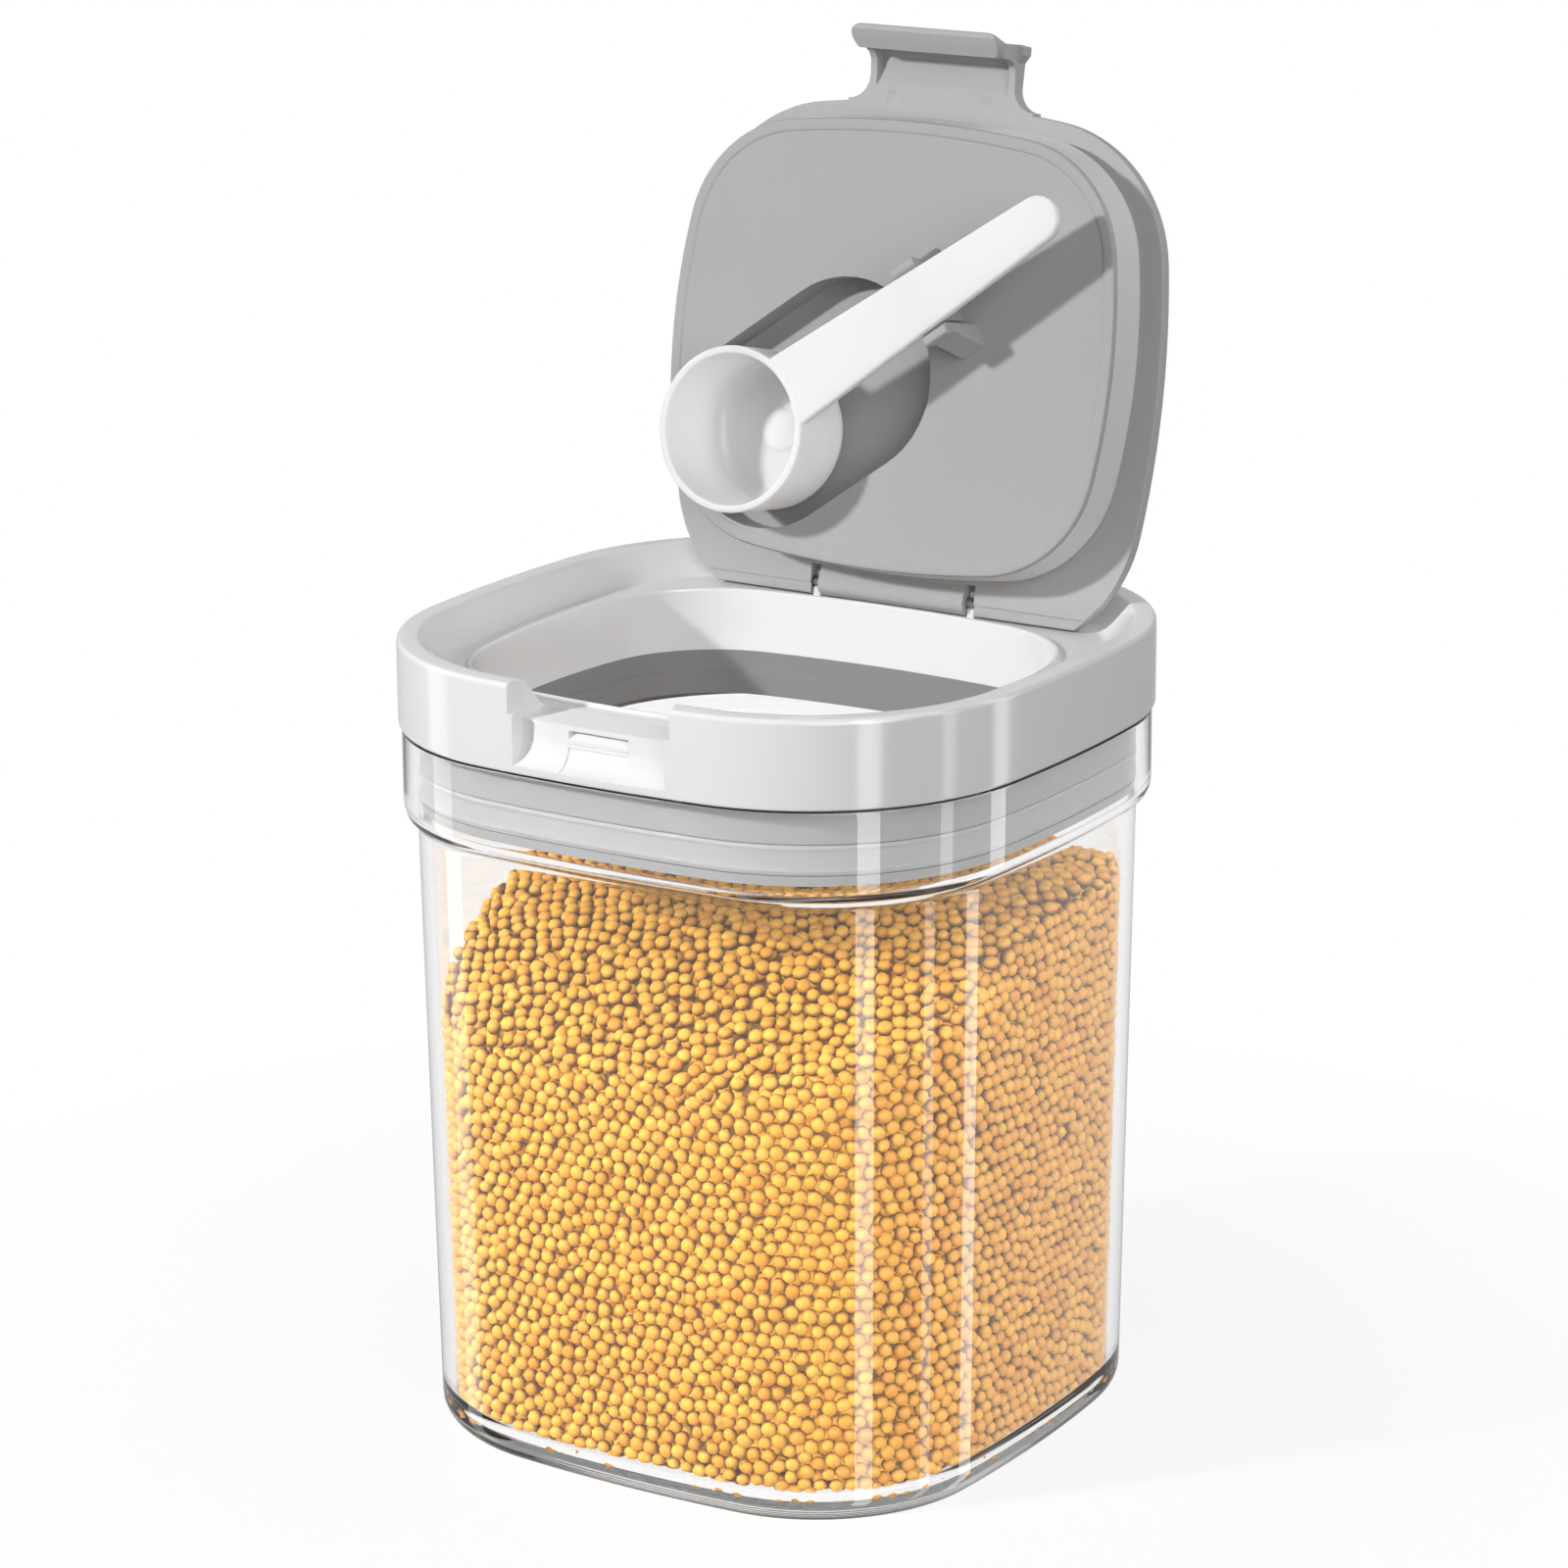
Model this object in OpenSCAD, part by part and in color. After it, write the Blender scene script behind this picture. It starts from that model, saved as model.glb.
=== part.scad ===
// Square storage jar with a lift-off collar, a flip lid hinged in the collar and a
// measuring scoop clipped under the lid. Millimetres, +Z up, front (latch side) at -Y.
// The origin is at the centre of the jar's flat bottom. The lid is drawn open.

/* [Jar] */
// Height of the jar to its rim
jar_h = 129.1; // [110:1:170]
// How far the body stands in from the collar's side, just under the shoulder
body_inset = 4; // [3:0.5:6]
// Half width lost between the shoulder and the foot (mould draft)
body_draft = 1.65; // [0.5:0.05:3]
// Height of the wide neck band above the shoulder
neck_h = 14.7; // [13.8:0.1:18]
// Thickness of the jar's side wall
jar_wall = 2.2; // [1.6:0.1:2.6]
// Thickness of the jar's floor
jar_floor = 3.2; // [2.4:0.1:5]
// Radius of the rounding between side wall and floor, outside
foot_r = 5; // [3:0.5:8]

/* [Collar] */
// Width and depth of the collar
collar_w = 120; // [118:0.5:124]
// Height of the collar
collar_h = 15.6; // [14.5:0.1:19]
// Corner radius of the collar in plan
corner_r = 40.6; // [34:0.2:46]
// Width of the flat top of the rim
rim_flat = 3.6; // [2.5:0.1:4.5]
// Wall thickness of the collar
collar_wall = 2.2; // [1.6:0.1:2.4]
// Drop from the rim to the deck that the lid closes over
deck_drop = 5.8; // [5:0.1:6.4]
// Height of the raised lip round the opening above the deck
lip_h = 0.65; // [0.4:0.05:0.8]
// Length of the inner wall below the lip
inner_wall_h = 11.45; // [11:0.05:13]
// Gap between the collar and the jar's rim
seat_gap = 0.3; // [0.2:0.05:0.5]

/* [Opening] */
// Distance from the collar's side to the opening
mouth_side = 13.26; // [12.8:0.02:16]
// Distance from the collar's front to the opening
mouth_front = 13.93; // [13.2:0.01:16]
// Distance from the collar's rear to the opening, which leaves room for the hinge
mouth_rear = 23.53; // [23:0.01:26]
// Corner radius of the opening
open_r = 23.6; // [18:0.2:28]

/* [Latch] */
// Width of the latch recess in the collar's front
recess_w = 30.6; // [24:0.2:36]
// Depth of the latch recess at its top
recess_depth = 3.7; // [3.4:0.1:4]
// Height of the bottom of the latch recess above the collar's lower edge
recess_base = 1.4; // [1:0.1:2.2]
// Width of the catch in the middle of the recess
catch_w = 12; // [8:0.5:18]
// Height of the slot above the catch ridge
slot_h = 1.7; // [1.4:0.1:2]
// Clearance between the latch hood and the recess, each side
hood_gap = 0.35; // [0.3:0.05:0.6]

/* [Neck ring] */
// Height of the ring's outer skirt
ring_h = 12.6; // [11.5:0.1:13.6]
// Height of the ring's inner skirt
ring_inner_h = 8.1; // [6:0.1:9]
// Wall thickness of the ring
ring_wall = 1.8; // [1.4:0.1:2]
// Clearance between the ring and the jar's neck
ring_gap = 0.4; // [0.35:0.05:0.7]
// Height of the sealing band on the ring
seal_h = 5.4; // [4.6:0.1:5.6]
// Clearance kept between a sealing lip and the wall that it wipes
seal_gap = 0.3; // [0.25:0.05:0.4]

/* [Lid] */
// How far the lid's flange reaches past the opening at each side
lid_lap = 2.96; // [2.2:0.02:3.1]
// Thickness of the lid's edge
lid_t = 3; // [2.8:0.1:3.2]
// Rise of the lid's top from its edge to its middle
crown_h = 1.6; // [0.8:0.1:1.8]
// Gap between the closed lid and the lip
lid_gap = 0.35; // [0.3:0.05:0.5]
// Angle that the open lid leans back past upright
lid_lean = 11; // [6:0.5:14]
// Depth of the plug below the lid's underside
plug_h = 10.5; // [9.5:0.1:11]
// Clearance between the plug and the opening
plug_gap = 1.2; // [1.2:0.05:2]
// Width of the bead round the plug's face
face_bead = 2.5; // [1.8:0.1:3.5]
// Thickness of the plug's walls
plug_wall = 2; // [1.4:0.1:2]

/* [Hinge] */
// Radius of the hinge pin
pin_r = 1; // [0.8:0.05:1.1]
// Half length of the lid's hinge knuckle
knuckle_half = 15.2; // [12:0.2:18]
// Thickness of each hinge lug on the collar
lug_t = 1.4; // [1.2:0.1:3]
// Side clearance between knuckle, lugs and lid
hinge_gap = 0.3; // [0.3:0.05:0.5]
// Running clearance of the pin in the knuckle, on the radius
pin_fit = 0.06; // [0.02:0.01:0.1]

/* [Scoop] */
// Outer radius of the scoop's bowl
bowl_r = 15; // [13:0.1:15.2]
// Depth of the bowl, outside
bowl_h = 18.6; // [18:0.1:18.8]
// Distance from the bowl's centre to the centre of the handle's tip
handle_l = 71.7; // [66:0.1:74]
// Half width of the handle where it leaves the bowl
handle_root = 6.8; // [5.5:0.1:7.5]
// Half width of the handle at its rounded tip
handle_tip = 4.2; // [3.5:0.1:4.6]
// Thickness of the handle
handle_t = 2.2; // [1.8:0.1:2.6]
// Wall thickness of the bowl
bowl_wall = 1.4; // [1:0.1:1.8]
// Angle of the scoop across the lid
scoop_angle = 36.3; // [33:0.1:39]
// Clearance between the scoop and what holds it
scoop_gap = 0.3; // [0.25:0.05:0.5]

/* [Hidden] */
$fn = 64;
e = 0.01;

// How finely an outline is drawn: points along half a side and round a corner
side_steps = 3;
corner_steps = 11;
collar_sag = 0.7;
open_sag = 1.36;
body_sag = 0.85;
body_corner_share = 0.6;

// Heights
collar_z = jar_h + seat_gap;
rim_z = collar_z + collar_h;
deck_z = rim_z - deck_drop;
lip_z = deck_z + lip_h;
inner_bottom_z = lip_z - inner_wall_h;
shoulder_z = jar_h - neck_h;
lid_under_z = lip_z + lid_gap;
lid_top_z = lid_under_z + lid_t;
plug_face_z = lid_under_z - plug_h;

// The collar's half width, and the jar's, which follows it
collar_half = collar_w / 2;
body_half = collar_half - body_inset;
neck_step = 0.6;
neck_inner = neck_step + jar_wall;

// The opening keeps its distance from the collar's sides
open_half_x = collar_half - mouth_side;
open_half_y = collar_half - (mouth_front + mouth_rear) / 2;
open_shift = (mouth_rear - mouth_front) / 2;

// The hinge axis sits just behind the opening, low in the lid's edge
hinge_back = 3.13;
hinge_rise = 1.55;
open_rear = open_half_y - open_shift;
hinge_y = open_rear + hinge_back;
hinge_z = lid_under_z + hinge_rise;
knuckle_r = hinge_z - deck_z - 0.27;
strip_r = hinge_z - lip_z + 0.1;
stop_gap = 0.05;
// The open lid rests on its rear top edge, which meets the deck at the lean angle
edge_above_axis = lid_top_z - hinge_z;
rear_reach = (hinge_z - deck_z - stop_gap - edge_above_axis * sin(lid_lean)) / cos(lid_lean);
lid_swing = 90 + lid_lean;

// The lid's flange, and the deck that follows it with a margin
lid_half_x = open_half_x + lid_lap;
lid_front = open_shift + open_half_y + 2.6;
lid_rear = hinge_y + 9.2;
lid_half_y = (lid_front + lid_rear) / 2;
lid_shift = (lid_front - lid_rear) / 2;
lid_r = 27;
deck_margin = 1.5;

// Latch
recess_half = recess_w / 2;
hood_half = recess_half - hood_gap;
recess_back = collar_half - recess_depth;
recess_z = collar_z + recess_base;
hood_flare = 1.4;
hood_wall = 1.3;
slot_top = lip_z - 2.3;
slot_floor = slot_top - slot_h;

// The scoop's place: along its own axis from a point on the lid
scoop_axis_off = 35.9;
bowl_along = -2.8;
rest_along = 16.2;
pocket_r = bowl_r + 2.85;
rim_drop = plug_h + 12;
pocket_depth = bowl_h - 12 + scoop_gap;
// The plug's face lies a little deeper than the bead round it
face_sink = 0.3;
clip_foot = plug_h - face_sink - 0.2;

// Outline of a soft square: four shallow arcs joined by corner arcs. hx and hy are the
// half width and half depth, r the corner radius and sag the rise of each side.
function arc_radius(half, rise) = (half * half + rise * rise) / (2 * rise);
function quarter(hx, hy, r, sag) =
    let (cx = hx - r - sag, cy = hy - r - sag)
    let (rx = arc_radius(cy, sag), ry = arc_radius(cx, sag))
    let (tx = asin(cy / rx), ty = asin(cx / ry))
    [
        for (i = [0 : side_steps - 1])
            let (t = tx * i / side_steps)
            [hx - r - rx + (rx + r) * cos(t), (rx + r) * sin(t)],
        for (i = [0 : corner_steps - 1])
            let (t = tx + (90 - ty - tx) * i / corner_steps)
            [cx + r * cos(t), cy + r * sin(t)],
        for (i = [0 : side_steps])
            let (t = ty * (1 - i / side_steps))
            [(ry + r) * sin(t), hy - r - ry + (ry + r) * cos(t)]
    ];
function outline(hx, hy, r, sag, shift = 0) =
    let (q = quarter(hx, hy, r, sag), m = len(q) - 1)
    [
        for (i = [0 : m - 1]) [q[i][0], q[i][1] - shift],
        for (i = [0 : m - 1]) [-q[m - i][0], q[m - i][1] - shift],
        for (i = [0 : m - 1]) [-q[i][0], -q[i][1] - shift],
        for (i = [0 : m - 1]) [q[m - i][0], -q[m - i][1] - shift]
    ];
function collar_line(inset) =
    outline(collar_half - inset, collar_half - inset, corner_r - inset, collar_sag);
function open_line(outset) =
    outline(open_half_x + outset, open_half_y + outset, open_r + outset, open_sag, open_shift);
function lid_line(inset) =
    outline(lid_half_x - inset, lid_half_y - inset, lid_r - inset, open_sag, lid_shift);
function body_line(half) = outline(half, half, half * body_corner_share, body_sag);
function at(line, z) = [for (p = line) [p[0], p[1], z]];
function between(a, b, k) = [for (i = [0 : len(a) - 1]) a[i] * (1 - k) + b[i] * k];

// A skin over a list of rings. Open ends are capped; with loop the last ring joins the first.
module skin(rings, loop = false) {
    n = len(rings[0]);
    rows = len(rings);
    last = loop ? rows - 1 : rows - 2;
    sides = [
        for (j = [0 : last])
            for (i = [0 : n - 1])
                let (a = j * n, b = ((j + 1) % rows) * n, k = (i + 1) % n)
                each [[a + i, b + i, b + k], [a + i, b + k, a + k]]
    ];
    caps = loop ? [] : [
        [for (i = [0 : n - 1]) i],
        [for (i = [0 : n - 1]) (rows - 1) * n + n - 1 - i]
    ];
    points = [for (r = rings) each r];
    polyhedron(points = points, faces = concat(sides, caps), convexity = 8);
}

// A profile drawn in the YZ plane and given a width along X, centred
module across(width) {
    translate([-width / 2, 0, 0])
        rotate([90, 0, 90])
            linear_extrude(width)
                children();
}

// Turns what is drawn in the closed position back to the open lid's place
module opened() {
    translate([0, hinge_y, hinge_z])
        rotate([-lid_swing, 0, 0])
            translate([0, -hinge_y, -hinge_z])
                children();
}

// The scoop's own place on the closed lid: X along its handle, Z down into the jar
module scoop_place() {
    translate([0, hinge_y + 0.4, lid_under_z])
        mirror([0, 0, 1])
            mirror([0, 1, 0])
                rotate([0, 0, scoop_angle])
                    translate([0, scoop_axis_off, 0])
                        children();
}

function body_half_at(z) =
    body_half - body_draft * (shoulder_z - z) / (shoulder_z - foot_r);

module jar_body() {
    inner = jar_wall;
    foot = body_half_at(foot_r);
    color("#dfe6ea", 0.45)
        skin([
            at(body_line(foot - 13), 0),
            at(body_line(foot - 12.4), 0.8),
            at(body_line(foot - 8.6), 0.8),
            at(body_line(foot - 8), 0),
            at(body_line(foot - foot_r * 0.8), 0),
            at(body_line(foot - foot_r * 0.38), foot_r * 0.18),
            at(body_line(foot - foot_r * 0.12), foot_r * 0.5),
            at(body_line(foot), foot_r),
            at(body_line(body_half), shoulder_z - 3),
            at(body_line(body_half + 0.4), shoulder_z - 2),
            at(body_line(body_half + 1.7), shoulder_z - 1),
            at(collar_line(neck_step + 0.7), shoulder_z - 0.2),
            at(collar_line(neck_step), shoulder_z + 1),
            at(collar_line(neck_step), jar_h - 0.4),
            at(collar_line(neck_step + 0.4), jar_h),
            at(collar_line(neck_inner - 0.4), jar_h),
            at(collar_line(neck_inner), jar_h - 0.4),
            at(collar_line(neck_inner), shoulder_z + 0.2),
            at(body_line(body_half - inner + 0.6), shoulder_z - 1.4),
            at(body_line(body_half - inner), shoulder_z - 3),
            at(body_line(foot - inner), jar_floor + foot_r),
            at(body_line(foot - inner - 1.2), jar_floor + foot_r * 0.4),
            at(body_line(foot - inner - foot_r * 0.7), jar_floor + foot_r * 0.06),
            at(body_line(foot - inner - foot_r * 1.2), jar_floor)
        ]);
}

// The front latch recess: a seat cut through the rim and a hollow that runs out at its foot
module recess_profile() {
    polygon([
        [-collar_half - 3, rim_z + 2],
        [-collar_half - 3, recess_z],
        [-collar_half - e, recess_z],
        [-collar_half + 1.2, recess_z + 0.45],
        [-collar_half + 2.2, recess_z + 1.2],
        [-collar_half + 3, recess_z + 2.4],
        [-recess_back - 0.15, recess_z + 4.2],
        [-recess_back, lip_z - 1.45],
        [-lid_front - 1.4, deck_z + 0.1],
        [-lid_front - 1.4, rim_z + 2]
    ]);
}

// The slot for the latch and, under it, a shallow panel that follows the hollow
module catch_slot() {
    across(catch_w)
        polygon([
            [-collar_half - 2, slot_top],
            [-recess_back + 1.3, slot_top],
            [-recess_back + 1.3, slot_top - 0.6],
            [-recess_back - 0.25, slot_floor],
            [-collar_half - 2, slot_floor]
        ]);
    intersection() {
        across(catch_w)
            translate([0.35, 0])
                recess_profile();
        translate([-catch_w / 2, -collar_half - 1, collar_z + recess_base / 2])
            cube([catch_w, 2 + recess_depth, slot_floor - 1.2 - collar_z - recess_base / 2]);
    }
}

module catch_ridge() {
    across(catch_w)
        polygon([
            [-recess_back + 0.8, slot_floor + 0.6],
            [-recess_back - 0.25, slot_floor],
            [-recess_back - 0.25, slot_floor - 0.5],
            [-recess_back + 0.8, slot_floor - 1.8]
        ]);
}

// A lug is a hook, open towards the front, into which the pin is pressed
module hinge_lug() {
    hook_r = knuckle_r - 0.3;
    rotate([90, 0, 90])
        linear_extrude(lug_t)
            difference() {
                union() {
                    translate([hinge_y, hinge_z])
                        circle(hook_r);
                    translate([hinge_y - hook_r, deck_z - 1])
                        square([2 * hook_r, hinge_z - deck_z + 1]);
                }
                translate([hinge_y, hinge_z]) {
                    circle(pin_r + 0.02);
                    polygon([[0, 0], [-2 * hook_r, -hook_r / 3], [-2 * hook_r, 2 * hook_r],
                             [0.4 * hook_r, 2 * hook_r]]);
                }
            }
}

module collar_frame() {
    deck = lid_line(-deck_margin);
    slope_top = collar_line(rim_flat + 0.5);
    wall = collar_wall;
    under_deck = deck_z - wall;
    color("#f4f4f4")
        union() {
            difference() {
                union() {
                    skin([
                        at(collar_line(wall), collar_z),
                        at(collar_line(0.5), collar_z),
                        at(collar_line(0), collar_z + 0.5),
                        at(collar_line(0), rim_z - 0.8),
                        at(collar_line(0.25), rim_z - 0.25),
                        at(collar_line(0.8), rim_z),
                        at(collar_line(rim_flat), rim_z),
                        at(slope_top, rim_z - 0.25),
                        at(between(slope_top, deck, 0.35), rim_z - deck_drop * 0.45),
                        at(between(slope_top, deck, 0.7), rim_z - deck_drop * 0.8),
                        at(deck, deck_z + 0.15),
                        at(lid_line(-deck_margin + 0.5), deck_z),
                        at(open_line(1.4), deck_z),
                        at(open_line(1.0), lip_z - 0.12),
                        at(open_line(0.4), lip_z),
                        at(open_line(0), lip_z - 0.45),
                        at(open_line(-0.3), inner_bottom_z),
                        at(open_line(wall), inner_bottom_z),
                        at(open_line(wall), under_deck),
                        at(between(collar_line(wall), deck, 0.6), under_deck),
                        at(collar_line(wall), rim_z - wall - 1.5)
                    ], loop = true);
                    // Solid backing behind the latch recess
                    translate([-recess_half - 3, -collar_half + 1, collar_z])
                        cube([recess_w + 6, recess_depth + 2.4, lip_z - 2 - collar_z]);
                }
                across(recess_w)
                    recess_profile();
                // The rim opens a little wider at the top, for the flare of the hood
                translate([-recess_half - hood_flare - 0.3, -collar_half - 1, lip_z])
                    cube([recess_w + 2 * hood_flare + 0.6, 1 + recess_depth, rim_z]);
                catch_slot();
            }
            intersection() {
                catch_ridge();
                translate([-collar_half, -collar_half, collar_z])
                    cube([collar_w, collar_half, collar_h]);
            }
            for (side = [-1, 1])
                translate([side * (knuckle_half + hinge_gap + lug_t / 2) - lug_t / 2, 0, 0])
                    hinge_lug();
        }
}

module neck_ring() {
    top = inner_bottom_z;
    foot = top - ring_h;
    inner_foot = top - ring_inner_h;
    outer = neck_inner + ring_gap;
    groove = outer + 1.1;
    web = ring_wall;
    seal_top = foot + 1.8 + seal_h;
    color("#9a9a9c")
        skin([
            at(open_line(-0.9), inner_foot),
            at(open_line(-0.9), top - 4),
            at(open_line(-0.5), top - 3.7),
            at(open_line(-0.5), top),
            at(collar_line(outer), top),
            at(collar_line(outer), top - 3.2),
            at(collar_line(groove), seal_top),
            at(collar_line(groove), foot + 1.8),
            at(collar_line(outer + 0.2), foot + 1.5),
            at(collar_line(outer + 0.4), foot),
            at(collar_line(groove + web), foot),
            at(collar_line(groove + web), top - web),
            at(open_line(ring_wall - 0.9), top - web),
            at(open_line(ring_wall - 0.9), inner_foot)
        ], loop = true);
}

module neck_seal() {
    foot = inner_bottom_z - ring_h + 1.8;
    inner = neck_inner + ring_gap + 1.1 - 0.05;
    lip = neck_inner + seal_gap;
    color("#b9b9bb")
        skin([
            at(collar_line(inner), foot + 0.05),
            at(collar_line(inner), foot + seal_h - 0.05),
            at(collar_line(inner - 0.6), foot + seal_h - 0.05),
            at(collar_line(lip), foot + seal_h - 0.7),
            at(collar_line(inner - 0.5), foot + seal_h - 1.3),
            at(collar_line(inner - 0.5), foot + 1.5),
            at(collar_line(lip), foot + 0.9),
            at(collar_line(inner - 0.6), foot + 0.05)
        ], loop = true);
}

module hinge_pin() {
    color("#c8ccd0")
        translate([-(knuckle_half + hinge_gap + lug_t), hinge_y, hinge_z])
            rotate([0, 90, 0])
                cylinder(h = 2 * (knuckle_half + hinge_gap + lug_t), r = pin_r);
}

// Rear edge of the lid beside the knuckle. A shallow step marks it off from the flange, its
// lower corner is rounded to swing past the deck, and its top corner lands there when open
module rear_edge_profile() {
    step = 0.35;
    round_r = 0.5;
    translate([hinge_y, hinge_z])
        polygon(concat(
            [[-3, -hinge_rise], [0.2, -hinge_rise], [0.2, step - hinge_rise]],
            [for (a = [-90 : 30 : 0])
                [rear_reach - round_r + round_r * cos(a),
                 step - hinge_rise + round_r + round_r * sin(a)]],
            [[rear_reach, edge_above_axis], [-3, edge_above_axis]]
        ));
}

// The knuckle is a barrel that runs out into the underside of the flange
module knuckle_profile() {
    run_out = 2.9;
    reach = sqrt(run_out * run_out + hinge_rise * hinge_rise);
    touch = 180 + atan2(hinge_rise, run_out) + acos(knuckle_r / reach);
    translate([hinge_y, hinge_z]) {
        circle(knuckle_r);
        polygon([
            [-run_out, 0],
            [-run_out, -hinge_rise],
            [knuckle_r * cos(touch), knuckle_r * sin(touch)],
            [0, 0]
        ]);
    }
}

module hood_plan() {
    front = lid_front;
    fillet = 4.2;
    square_from = front - 4;
    translate([-hood_half, -collar_half])
        square([2 * hood_half, collar_half - square_from]);
    for (side = [-1, 1])
        scale([side, 1])
            difference() {
                translate([hood_half - 1, -front - fillet + 0.5])
                    square([fillet + 1, fillet + 3]);
                translate([hood_half + fillet, -front - fillet + 0.5])
                    circle(fillet);
            }
    // Flare at the front end
    polygon([
        [-hood_half, -collar_half + 3.4],
        [-hood_half - hood_flare, -collar_half + 1.5],
        [-hood_half - hood_flare, -collar_half + 0.4],
        [-hood_half - hood_flare + 0.4, -collar_half],
        [hood_half + hood_flare - 0.4, -collar_half],
        [hood_half + hood_flare, -collar_half + 0.4],
        [hood_half + hood_flare, -collar_half + 1.5],
        [hood_half, -collar_half + 3.4]
    ]);
}

// The hood's flap, which hangs over the recess and ends in a lip for the finger
module flap_profile() {
    inner = -recess_back - hood_gap;
    ridge_z = recess_z + 3.1;
    polygon([
        [inner + 3.6, lid_under_z + e],
        [inner + 1.2, lid_under_z - 0.35],
        [inner, lid_under_z - 1.3],
        [inner - 0.55, lid_under_z - 2.6],
        [inner - 0.6, ridge_z + 1.4],
        [inner - 0.45, ridge_z],
        [inner - 2.2, ridge_z - 1.3],
        [inner - 3.7, ridge_z - 2.2],
        [inner - 4.5, ridge_z - 2.1],
        [inner - 4.7, ridge_z - 1.5],
        [-collar_half - 0.4, ridge_z + 0.2],
        [-collar_half + 0.2, ridge_z + 1.7],
        [-collar_half + 0.35, ridge_z + 4],
        [-collar_half, lid_under_z + 0.5],
        [-collar_half, lid_top_z - 0.9],
        [-collar_half + 0.3, lid_top_z - 0.3],
        [-collar_half + 1, lid_top_z],
        [inner + 3.6, lid_top_z]
    ]);
}

module lid_shell() {
    notch = lug_t + 2 * hinge_gap;
    dimple_x = 9.75;
    color("#a9aaac")
        opened()
            difference() {
                union() {
                    // Flange and crown, cut off at the hinge line
                    intersection() {
                        skin([
                            at(lid_line(0.4), lid_under_z),
                            at(lid_line(0), lid_under_z + 0.4),
                            at(lid_line(0), lid_top_z - 0.9),
                            at(lid_line(0.3), lid_top_z - 0.35),
                            at(lid_line(1), lid_top_z),
                            at(lid_line(6), lid_top_z + crown_h * 0.45),
                            at(lid_line(14), lid_top_z + crown_h * 0.8),
                            at(lid_line(24), lid_top_z + crown_h)
                        ]);
                        translate([-lid_half_x - 1, -lid_front - 1, lid_under_z - 1])
                            cube([2 * lid_half_x + 2, lid_front + 1 + hinge_y - 2, 10]);
                    }
                    // Rear edge, in line with the flange's outline
                    intersection() {
                        across(2 * lid_half_x)
                            rear_edge_profile();
                        translate([0, 0, lid_under_z - 4])
                            linear_extrude(10)
                                polygon(lid_line(0.2));
                    }
                    // Knuckle round the pin
                    across(2 * knuckle_half)
                        knuckle_profile();
                    // Latch hood
                    intersection() {
                        translate([0, 0, lid_under_z])
                            linear_extrude(lid_t)
                                hood_plan();
                        across(recess_w + 30)
                            flap_limit();
                    }
                    difference() {
                        across(2 * hood_half)
                            flap_profile();
                        lip_ends();
                    }
                }
                // The hood is hollow between its two cheeks
                across(2 * (hood_half - hood_wall))
                    hood_hollow();
                for (side = [-1, 1])
                    translate([side * (knuckle_half + notch / 2) - notch / 2,
                               hinge_y - knuckle_r - 1, lid_under_z - 4])
                        cube([notch, 10, 12]);
                translate([-lid_half_x, hinge_y, hinge_z])
                    rotate([0, 90, 0])
                        cylinder(h = 2 * lid_half_x, r = pin_r + pin_fit);
                // Two shallow dimples in the root of the hood
                for (side = [-1, 1])
                    translate([side * dimple_x, -lid_front - 0.1, lid_under_z - e])
                        cylinder(h = 0.5, r = 1.8);
            }
}

// Hollow under the hood's plate, which turns down into the inside of the flap
module hood_hollow() {
    inner = -recess_back - hood_gap;
    polygon([
        [-lid_front - 2, lid_under_z - e],
        [inner + 4.6, lid_under_z + 0.7],
        [inner + 2.4, lid_under_z + 1.4],
        [inner + 0.6, lid_under_z + 1.5],
        [inner - 0.7, lid_under_z + 0.6],
        [inner - 1.3, lid_under_z - 1.2],
        [inner - 1.2, recess_z + 4.8],
        [inner - 0.5, recess_z + 3.6],
        [inner + 3, recess_z + 3.6]
    ]);
}

// Rounds both ends of the lip, more where it leaves the flap than at its tip
module lip_ends() {
    r = 3.8;
    tip = -recess_back - hood_gap - 4.7;
    for (side = [-1, 1])
        scale([side, 1, 1])
            translate([0, 0, recess_z - 1])
                linear_extrude(3.9)
                    difference() {
                        translate([hood_half - r, tip - 1])
                            square([r + 1, r + 2.5]);
                        translate([hood_half - r, tip + 0.6])
                            circle(r);
                        translate([hood_half - r - 1, tip + 0.6])
                            square([r - e, r + 1]);
                    }
}

// Rounds the front top edge of the hood's plate
module flap_limit() {
    polygon([
        [-lid_front + 4, lid_under_z - 1],
        [-collar_half, lid_under_z - 1],
        [-collar_half, lid_top_z - 0.9],
        [-collar_half + 0.3, lid_top_z - 0.3],
        [-collar_half + 1, lid_top_z],
        [-lid_front + 4, lid_top_z]
    ]);
}

module pocket_plan(grow = 0) {
    hull() {
        translate([bowl_along, 0])
            circle(pocket_r + grow);
        translate([rest_along, 0])
            circle(pocket_r + grow);
    }
}

// One clip that grips the side of the handle, with its outward gusset
module clip(side) {
    along = 41.5;
    half = handle_half_at(along - bowl_along) + scoop_gap;
    top = rim_drop - handle_t * 0.3;
    translate([along - 2.6, 0, 0])
        scale([1, side, 1])
            rotate([90, 0, 90])
                linear_extrude(5.2)
                    polygon([
                        [half, clip_foot],
                        [half + 4.6, clip_foot],
                        [half + 4.4, plug_h + 0.8],
                        [half + 1.9, top - 3.6],
                        [half + 2.4, top - 1],
                        [half + 2, top],
                        [half + 0.8, top],
                        [half, top - 0.9]
                    ]);
}

function handle_half_at(x) = handle_root + (handle_tip - handle_root) * x / handle_l;

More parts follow.
